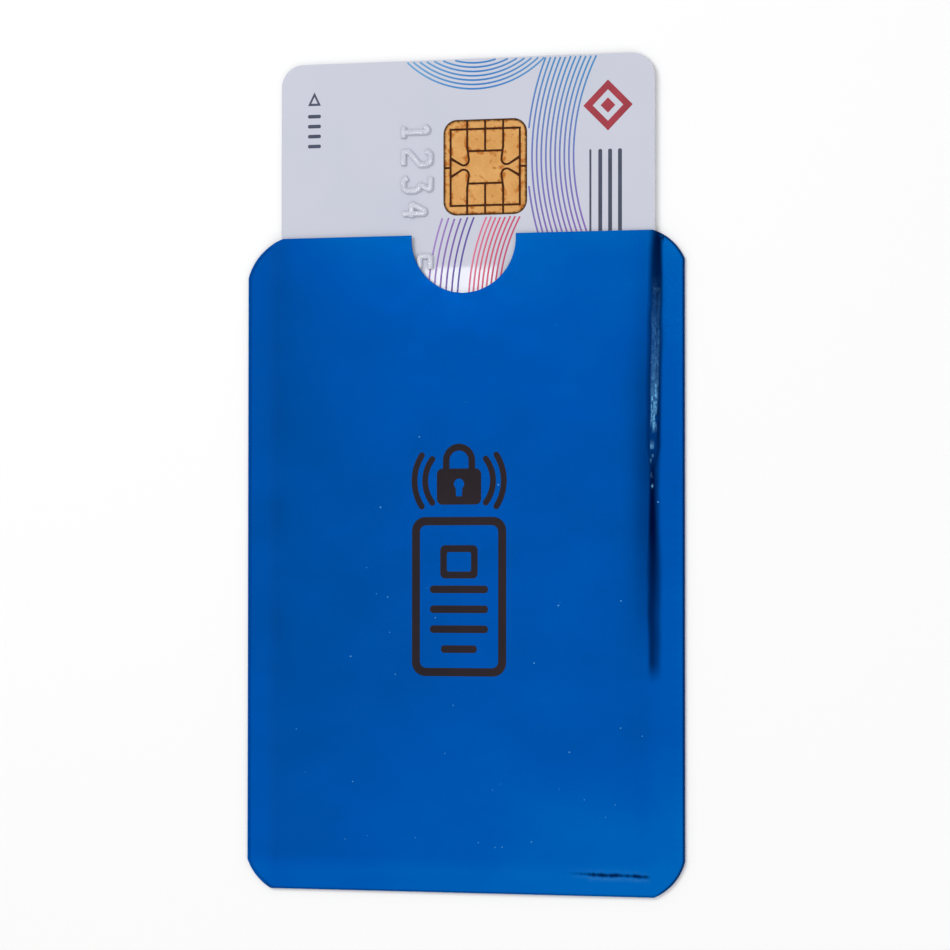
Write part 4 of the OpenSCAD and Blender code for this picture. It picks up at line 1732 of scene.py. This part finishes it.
@dataclass
class ChipCard:
    """The card: its face with the raised number, its print, and the finishes of all its layers."""

    corner_r: float = 3.18
    corner_points: int = 14
    # The face's rim is softened over the first of these distances
    rim_rows: Pair = (0.06, 0.14)
    rim_drop: float = 0.012
    rim_step: float = 4.0
    module_r: float = 1.9
    module_points: int = 10
    module_gap: float = 0.05
    digit_w: float = 2.4
    digit_h: float = 4.5
    digit_pitch: float = 3.63
    digit_stroke: float = 0.55
    group_size: int = 4
    ridge_base: float = 1.05
    ridge_shoulder: float = 0.07
    bend_r: float = 0.25
    # How much lower a digit's second stroke lies, so that crossing tops never share a face
    stroke_step: float = 0.003
    foil_t: float = 0.02
    foil_shoulder: float = 0.004
    # How much wider than the stroke a ridge's top is, and the foil's foot, whose top is as much narrower
    ridge_spare: float = 0.06
    foil_spare: float = 0.04
    # How deep the ridges are rooted in the face, and the foil in the ridges
    ridge_root: float = 0.004
    foil_root: float = 0.02
    # Width of a printed line's foot, and of its top as a share of that
    line_w: float = 0.27
    line_top: float = 0.9
    line_h: float = 0.01
    line_samples: int = 420
    # How far the arcs stay from the card's edge and from the module
    bleed: float = 0.18
    module_bleed: float = 0.3
    ink_z: float = 0.006
    ink_t: float = 0.008
    ink_step: float = 1.5
    lozenge: Pair = (21.0, 62.8)
    lozenge_reach: float = 3.5
    # Its outer edge, its opening and its middle, as shares of that reach
    lozenge_shares: Triple = (1.0, 0.62, 0.3)
    rule_ends: Pair = (56.8, 43.0)
    # Place and width of each rule, and the radius of its corners as a share of its width
    rules: tuple[Pair, ...] = ((22.7, 0.55), (21.3, 0.55), (19.9, 0.55), (18.5, 0.28))
    rule_corner: float = 0.45
    arrow_x: float = -21.6
    arrow_ends: Pair = (64.1, 66.0)
    arrow_w: float = 1.9
    arrow_opening: float = 0.5
    dashes: Floats = (62.6, 61.2, 59.8, 58.4)
    dash_w: float = 0.5
    dash_corner: float = 0.2
    ripples: tuple[Ripple, ...] = (
        Ripple("upper_ripples", (2.0, 80.0), 10.7, 0.6, 7, -165.0, -15.0, Finishes.UPPER_INK),
        Ripple("side_ripples", (46.5, 56.0), 30.4, 0.66, 11, 152.0, 240.0, Finishes.SIDE_INK),
        Ripple("lower_ripples", (30.0, 36.0), 30.6, 0.85, 6, 150.0, 275.0, Finishes.LOWER_INK, True, 48.0),
        Ripple("inner_ripples", (30.0, 36.0), 24.6, 0.62, 8, 140.0, 275.0, Finishes.INNER_INK, True, 48.0),
    )
    # Strokes of the digits 0 to 9, as shares of a digit's width and height
    digit_shares: tuple[tuple[tuple[Pair, ...], ...], ...] = (
        (((0.2, 0), (0.8, 0), (1, 0.15), (1, 0.85), (0.8, 1), (0.2, 1), (0, 0.85), (0, 0.15), (0.2, 0)),),
        (((0.1, 0.8), (0.5, 1), (0.5, 0)), ((0.1, 0), (0.9, 0))),
        (((0, 0.85), (0.2, 1), (0.8, 1), (1, 0.85), (1, 0.6), (0, 0.2), (0, 0), (1, 0)),),
        (((0, 1), (1, 1), (0.5, 0.6), (0.8, 0.6), (1, 0.42), (1, 0.15), (0.8, 0), (0.2, 0), (0, 0.15)),),
        (((0.75, 0), (0.75, 1), (0, 0.3)), ((0, 0.3), (1, 0.3))),
        (((1, 1), (0.05, 1), (0.05, 0.6), (0.8, 0.6), (1, 0.42), (1, 0.15), (0.8, 0), (0, 0)),),
        (((0.9, 1), (0.3, 1), (0, 0.75), (0, 0.15), (0.2, 0), (0.8, 0), (1, 0.15), (1, 0.4), (0.8, 0.55)),
         ((0.8, 0.55), (0, 0.55))),
        (((0, 1), (1, 1), (0.4, 0.4), (0.4, 0)),),
        (((0.2, 0), (0.8, 0), (1, 0.15), (1, 0.4), (0.8, 0.55), (1, 0.7), (1, 0.85), (0.8, 1), (0.2, 1),
          (0, 0.85), (0, 0.7), (0.2, 0.55), (0, 0.4), (0, 0.15), (0.2, 0)), ((0.2, 0.55), (0.8, 0.55))),
        (((0.1, 0), (0.7, 0), (1, 0.25), (1, 0.85), (0.8, 1), (0.2, 1), (0, 0.85), (0, 0.6), (0.2, 0.45)),
         ((0.2, 0.45), (1, 0.45))),
    )

    def __post_init__(self) -> None:
        """Read the sizes that the frame holds."""
        self.low, self.high = node_box("card_front_core")
        self.face_low, _ = node_box("card_front_overlay")
        self.face_z = node_box("chip_contacts")[1].z
        low, high = node_box("chip_substrate")
        self.module_middle, self.module_half = (low + high) / 2, (high - low) / 2
        self.number_low, self.number_high = node_box("number_foil")

    def edge(self, inward: float) -> Points:
        """Draw the card's edge.

        Args:
            inward: How far the outline lies in from it.

        Returns:
            The outline, counter-clockwise.
        """
        centre = (self.low.x + self.high.x) / 2, (self.low.y + self.high.y) / 2
        size = self.high - self.low
        radius = self.corner_r - inward
        return round_rect(centre, size.x - 2 * inward, size.y - 2 * inward, radius, self.corner_points)

    def face_top(self, x: Points, y: Points) -> Points:
        """Heights of the face, which drops a little at its rim."""
        rim = edge_distance(np.column_stack((x, y)), [self.edge(0)])
        return self.face_z - self.rim_drop * fade(rim, self.rim_rows[0], 0.0)

    def build_face(self) -> None:
        """Make the clear overlay with its opening for the module."""
        gap = self.module_gap
        size = (2 * side + 2 * gap for side in self.module_half.xy)
        hole = round_rect(tuple(self.module_middle.xy), *size, self.module_r + gap, self.module_points)
        rows = np.vstack([refined(self.edge(distance), self.rim_step) for distance in self.rim_rows])
        rings = [refined(self.edge(0), self.rim_step), hole[::-1]]
        plate = Plate(rings, self.face_top, lambda x, y: x * 0 + self.face_low.z, rows)
        piece = new_piece("card_face", *plate.shell(), Finishes.OVERLAY)
        tie(piece, Body.CARD, ("card_front_overlay",), "clear overlay")

    def number_lines(self, height: float) -> bpy.types.Mesh:
        """Draw the centre lines of the number's strokes.

        Args:
            height: Height of the lines.

        Returns:
            A mesh of edges.
        """
        w, h = self.digit_w - self.digit_stroke, self.digit_h - self.digit_stroke
        length = self.number_high.y - self.number_low.y
        places = round((length + self.digit_pitch - self.digit_w) / self.digit_pitch)
        start_x = self.number_low.x + self.digit_stroke / 2
        points: list[Triple] = []
        edges: list[tuple[int, int]] = []
        for place in range(places):
            if place % (self.group_size + 1) == self.group_size:
                continue
            digit = (place + 1 - place // (self.group_size + 1)) % len(self.digit_shares)
            # The number reads along the card, so a digit's width runs down the row frame's Y
            start_y = self.number_high.y - place * self.digit_pitch - self.digit_stroke / 2
            for order, line in enumerate(self.digit_shares[digit]):
                closed = line[0] == line[-1]
                corners = line[:-1] if closed else line
                first = len(points)
                z = height - order * self.stroke_step
                points += [(start_x + v * h, start_y - u * w, z) for u, v in corners]
                edges += [(first + i, first + i + 1) for i in range(len(corners) - 1)]
                if closed:
                    edges.append((len(points) - 1, first))
        mesh = bpy.data.meshes.new("number_lines")
        mesh.from_pydata([tuple(c * MM for c in p) for p in points], edges, [])
        return mesh

    def build_number(self) -> None:
        """Raise the number and stamp its silver foil."""
        foil_z = self.number_high.z - self.foil_t
        stroke = self.digit_stroke
        for name, finish, low, height, base, top, shoulder, slot, node in (
            ("embossed_number", Finishes.OVERLAY, self.face_z - self.ridge_root,
             foil_z - self.face_z + self.ridge_root, self.ridge_base, stroke + self.ridge_spare,
             self.ridge_shoulder, "card_overlay", "card_front_overlay"),
            ("number_silver", Finishes.STAMP, foil_z - self.foil_root, self.foil_t + self.foil_root,
             stroke + self.foil_spare, stroke - self.foil_spare, self.foil_shoulder, "number_foil",
             "number_foil"),
        ):
            lines = LineTree(name, {
                "Base width": base * MM, "Top width": top * MM, "Height": height * MM,
                "Bend radius": self.bend_r * MM, "Shoulder radius": shoulder * MM,
            })
            swept = lines.sweep(lines.given["Geometry"])
            piece = lines.grow(name, self.number_lines(low + height / 2), swept, finish)
            tie(piece, Body.CARD, (node,), "plain number")

    def build_ripples(self) -> None:
        """Print the bundles of arcs."""
        for ripple in self.ripples:
            lines = LineTree(f"{ripple.name}_tree", {
                "Centre X": ripple.centre[0] * MM, "Centre Y": ripple.centre[1] * MM,
                "First radius": ripple.first * MM, "Step": ripple.step * MM, "Arcs": ripple.count,
                "Start": math.radians(ripple.start), "End": math.radians(ripple.end),
                "Base width": self.line_w * MM, "Top width": self.line_w * self.line_top * MM,
                "Height": self.line_h * MM, "Bend radius": 0.0, "Shoulder radius": 0.0,
                "Samples": self.line_samples,
                "Left": (self.low.x + self.bleed) * MM, "Right": (self.high.x - self.bleed) * MM,
                "Low": (self.low.y + self.bleed) * MM, "High": min(self.high.y - self.bleed, ripple.top) * MM,
                "Hue by arc": float(ripple.by_arc),
            })
            swept = lines.sweep(self.ripple_lines(lines))
            piece = lines.grow(ripple.name, bpy.data.meshes.new(ripple.name), swept, ripple.ink)
            tie(piece, Body.CARD, place="printed arcs")

    def ripple_lines(self, lines: LineTree) -> Node:
        """Draw arcs round one centre, within the card and clear of the module.

        Args:
            lines: Tree that gets the nodes.

        Returns:
            The arcs as edges.
        """
        tree, given = lines.tree, lines.given
        index = add_node(tree, "GeometryNodeInputIndex")
        last_sample, last_arc = (
            chain(tree, MATH, given[count], ("SUBTRACT", 1.0)) for count in ("Samples", "Arcs")
        )
        line = add_node(tree, "GeometryNodeMeshLine", {"Count": given["Samples"]})
        marked = add_node(tree, "GeometryNodeStoreNamedAttribute", {
            "Geometry": line, "Name": "along", "Value": chain(tree, MATH, index, ("DIVIDE", last_sample)),
        })
        bundle = add_node(tree, "GeometryNodePoints", {"Count": given["Arcs"]})
        numbered = add_node(tree, "GeometryNodeStoreNamedAttribute", {
            "Geometry": bundle, "Name": "arc", "Value": index,
        })
        copies = add_node(tree, "GeometryNodeInstanceOnPoints", {"Points": numbered, "Instance": marked})
        real = add_node(tree, "GeometryNodeRealizeInstances", (copies,))
        along, number = (
            add_node(tree, "GeometryNodeInputNamedAttribute", {"Name": name}) for name in ("along", "arc")
        )
        angle = chain(
            tree, MATH, given["End"], ("SUBTRACT", given["Start"]), ("MULTIPLY_ADD", along, given["Start"]),
        )
        radius = chain(tree, MATH, number, ("MULTIPLY_ADD", given["Step"], given["First radius"]))
        x, y = (
            chain(tree, MATH, angle, (turn,), ("MULTIPLY_ADD", radius, given[centre]))
            for turn, centre in (("COSINE", "Centre X"), ("SINE", "Centre Y"))
        )
        place = add_node(tree, "ShaderNodeCombineXYZ", (x, y, self.face_z * MM))
        laid = add_node(tree, "GeometryNodeSetPosition", {"Geometry": real, "Position": place})
        hue = chain(
            tree, MATH, number, ("DIVIDE", last_arc), ("SUBTRACT", along),
            ("MULTIPLY_ADD", given["Hue by arc"], along),
        )
        hued = add_node(tree, "GeometryNodeStoreNamedAttribute", {
            "Geometry": laid, "Name": "hue", "Value": hue,
        })
        near_x, near_y = (
            chain(tree, MATH, place, ("SUBTRACT", middle * MM), ("ABSOLUTE",), ("LESS_THAN", reach * MM))
            for place, middle, reach in (
                (x, self.module_middle.x, self.module_half.x + self.module_bleed),
                (y, self.module_middle.y, self.module_half.y + self.module_bleed),
            )
        )
        beyond = [
            add_node(tree, MATH, (place, given[edge]), operation=test) for place, edge, test in (
                (x, "Left", "LESS_THAN"), (x, "Right", "GREATER_THAN"),
                (y, "Low", "LESS_THAN"), (y, "High", "GREATER_THAN"),
            )
        ]
        gone = chain(tree, MATH, near_x, ("MULTIPLY", near_y), *(("MAXIMUM", test) for test in beyond))
        return add_node(tree, "GeometryNodeDeleteGeometry", {"Geometry": hued, "Selection": gone})

    def build_marks(self) -> None:
        """Print the plain lozenge, the rules and the arrow."""
        ink = FlatPrint(lambda x, y: x * 0 + self.face_z + self.ink_z, self.ink_t, self.ink_step)
        turns = np.array([[1, 0], [0, 1], [-1, 0], [0, -1]])
        outer, hole, core = (
            self.lozenge + turns * self.lozenge_reach * share for share in self.lozenge_shares
        )
        top, end = self.rule_ends
        rules = [
            ink.shape(round_rect((x, (top + end) / 2), width, top - end, width * self.rule_corner))
            for x, width in self.rules
        ]
        (base, tip), x, half = self.arrow_ends, self.arrow_x, self.arrow_w / 2
        arrow = np.array([[x - half, base], [x + half, base], [x, tip]])
        opening = (arrow - arrow.mean(0)) * self.arrow_opening + arrow.mean(0)
        dash = (self.arrow_w, self.dash_w, self.dash_corner)
        dashes = [ink.shape(round_rect((x, y), *dash)) for y in self.dashes]
        for name, finish, shells in (
            ("plain_lozenge", Finishes.MARK_INK, [ink.shape(outer, hole), ink.shape(core)]),
            ("plain_rules", Finishes.RULE_INK, [*rules, ink.shape(arrow, opening), *dashes]),
        ):
            piece = new_piece(name, *joined(shells), finish)
            tie(piece, Body.CARD, place="printed marks")

    def dress(self) -> None:
        """Give the card's layers, its chip and its antenna their finishes."""
        contact = replace(
            Finishes.CONTACT, middle=tuple(self.module_middle.xy), half=tuple(self.module_half.xy),
            corner_mm=self.module_r,
        )
        dress({
            "card_back_overlay": Finishes.OVERLAY, "magnetic_stripe": Finishes.STRIPE,
            "signature_panel": Finishes.SIGNATURE, "card_back_core": Finishes.CORE,
            "card_inlay": Finishes.INLAY, "card_front_core": Finishes.CORE,
            "chip_contacts": contact, "chip_substrate": Finishes.EPOXY, "chip_adhesive": Finishes.HOT_MELT,
            "chip_die": Finishes.SILICON, "bond_wires": Finishes.WIRE, "chip_encapsulant": Finishes.RESIN,
            "antenna_coil": Finishes.COPPER, "antenna_bridge": Finishes.COPPER,
            "antenna_terminals": Finishes.PASTE,
        })

    def build(self) -> None:
        """Make everything that shows on the card."""
        self.build_face()
        self.build_number()
        self.build_ripples()
        self.build_marks()
        self.dress()


@dataclass
class Studio:
    """Pale floor, soft light and the camera.

    The camera's place and its two directions were worked out from the sleeve's outline in the picture.
    """

    camera_mm: Triple = (162.056, -0.843, 523.252)
    forward: Triple = (-0.29299, 0.02386, -0.95582)
    upward: Triple = (0.00638, 0.99972, 0.02301)
    view_degrees: float = 13.697
    sensor_mm: float = 36.0
    clip_m: Pair = (0.01, 20.0)
    floor_m: float = 4.0
    floor_mm: float = -0.02
    # Distances over which the floor turns plain white for the camera, so that it has no horizon
    whitened_m: Pair = (0.12, 0.45)
    ambient: float = 0.62
    # Name, place, side and power of each lamp
    lamps: tuple[tuple[str, Triple, float, float], ...] = (
        ("key_lamp", (-260.0, 330.0, 520.0), 320.0, 1.7), ("fill_lamp", (300.0, -250.0, 480.0), 420.0, 0.7),
    )
    skirt_sides: int = 48
    skirt_mm: float = 360.0
    skirt_top_mm: float = 60.0
    window_mm: Triple = (-155.0, 76.5, 500.0)
    window_size_mm: Pair = (20.4, 9.0)
    window_strength: float = 8.0

    def put(
        self, name: str, points: list[Triple], faces: list[tuple[int, ...]], material: bpy.types.Material,
        unseen_by: Sequence[str] = (),
    ) -> None:
        """Put a mesh into the studio.

        Args:
            name: Its name.
            points: Its points in metres.
            faces: Their numbers for each face.
            material: Its material.
            unseen_by: Rays that don't see it.
        """
        mesh = bpy.data.meshes.new(name)
        mesh.from_pydata(points, [], faces)
        mesh.materials.append(material)
        piece = add_object(name, mesh)
        for ray in unseen_by:
            setattr(piece, f"visible_{ray}", False)

    def floor(self) -> None:
        """Lay the floor just under the sleeve."""
        material = bpy.data.materials.new("matt_white_table")
        tree = emptied(material)
        colour = {"Base Color": linear_colour("#FBFBFB"), "Roughness": 0.9}
        table = add_node(tree, "ShaderNodeBsdfPrincipled", colour)
        place = add_node(tree, "ShaderNodeTexCoord").outputs["Object"]
        away = chain(tree, VECTOR_MATH, place, ("LENGTH",)).outputs["Value"]
        far = add_node(tree, RANGE, (away, *self.whitened_m), interpolation_type="SMOOTHSTEP")
        seen = add_node(tree, "ShaderNodeLightPath").outputs["Is Camera Ray"]
        share = chain(tree, MATH, far, ("MULTIPLY", seen))
        white = add_node(tree, "ShaderNodeEmission", {"Strength": 1.0})
        mix = add_node(tree, "ShaderNodeMixShader", (share, table, white))
        add_node(tree, "ShaderNodeOutputMaterial", (mix,))
        half, z = self.floor_m / 2, self.floor_mm * MM
        corners = [(-half, -half, z), (half, -half, z), (half, half, z), (-half, half, z)]
        self.put("studio_floor", corners, [(0, 1, 2, 3)], material)

    def world(self) -> None:
        """Surround all with white for the camera and for reflections, and softer light for the rest."""
        world = bpy.data.worlds.new("studio_surroundings")
        bpy.context.scene.world = world
        tree = emptied(world)
        path = add_node(tree, "ShaderNodeLightPath").outputs
        others = (("MAXIMUM", path[ray]) for ray in ("Is Glossy Ray", "Is Transmission Ray"))
        seen = chain(tree, MATH, path["Is Camera Ray"], *others)
        soft, white = (
            add_node(tree, "ShaderNodeBackground", {"Color": (1.0, 1.0, 1.0, 1.0), "Strength": strength})
            for strength in (self.ambient, 1.0)
        )
        mix = add_node(tree, "ShaderNodeMixShader", (seen, soft, white))
        add_node(tree, "ShaderNodeOutputWorld", (mix,))

    def lamp(self, name: str, place_mm: Triple, size_mm: float, watts: float) -> None:
        """Hang a square soft lamp that faces the sleeve.

        Args:
            name: Name of the lamp.
            place_mm: Its place.
            size_mm: Its side.
            watts: Its power.
        """
        light = bpy.data.lights.new(name, "AREA")
        light.shape = "SQUARE"
        light.size = size_mm * MM
        light.energy = watts
        lamp = add_object(name, light)
        place = Vector(place_mm) * MM
        lamp.matrix_world = Matrix.Translation(place) @ (-place).to_track_quat("-Z", "Y").to_matrix().to_4x4()
        lamp.visible_glossy = False

    def mirrored(self) -> None:
        """Set up what only reflections see.

        A low grey screen stands all round, so that steep folds read dark, and a small bright pane hangs
        overhead, for the glare in the notch.
        """
        sides, radius = self.skirt_sides, self.skirt_mm * MM
        angles = [math.tau * i / sides for i in range(sides)]
        ring = [
            (radius * math.cos(a), radius * math.sin(a), z)
            for z in (0.0, self.skirt_top_mm * MM) for a in angles
        ]
        walls = [(i, (i + 1) % sides, (i + 1) % sides + sides, i + sides) for i in range(sides)]
        x, y, z = (c * MM for c in self.window_mm)
        half_w, half_l = (c * MM / 2 for c in self.window_size_mm)
        pane = [(x + a * half_w, y + b * half_l, z) for a, b in ((-1, -1), (-1, 1), (1, 1), (1, -1))]
        felt = {"Base Color": linear_colour("#8A8C92"), "Roughness": 0.95}
        for name, points, faces, finish, kind, inputs in (
            ("studio_skirt", ring, walls, "grey_felt_screen", "ShaderNodeBsdfPrincipled", felt),
            ("studio_window", pane, [(0, 1, 2, 3)], "lit_pane", "ShaderNodeEmission",
             {"Strength": self.window_strength}),
        ):
            material = bpy.data.materials.new(finish)
            tree = emptied(material)
            add_node(tree, "ShaderNodeOutputMaterial", (add_node(tree, kind, inputs),))
            self.put(name, points, faces, material, ("camera", "diffuse", "shadow", "transmission"))

    def camera(self) -> None:
        """Place the camera at the picture's viewing angle."""
        lens = bpy.data.cameras.new("studio_camera")
        lens.sensor_width = self.sensor_mm
        lens.angle = math.radians(self.view_degrees)
        lens.clip_start, lens.clip_end = self.clip_m
        forward = Vector(self.forward).normalized()
        right = forward.cross(Vector(self.upward)).normalized()
        turn = Matrix((right, right.cross(forward), -forward)).transposed().to_4x4()
        camera = add_object("studio_camera", lens)
        camera.matrix_world = Matrix.Translation(Vector(self.camera_mm) * MM) @ turn
        bpy.context.scene.camera = camera

    def build(self) -> None:
        """Set the whole studio up."""
        self.floor()
        self.world()
        for lamp in self.lamps:
            self.lamp(*lamp)
        self.mirrored()
        self.camera()
        bpy.context.scene.view_settings.view_transform = "Standard"


def main() -> None:
    """Build the sleeve, the card and the studio in order."""
    logging.basicConfig(level=logging.INFO, format="%(name)s: %(message)s")
    panel = SleevePanel()
    panel.build()
    panel.dress()
    SleevePrint(panel).build()
    FilmPinholes(panel).build()
    ChipCard().build()
    Studio().build()


if __name__ == "__main__":
    main()
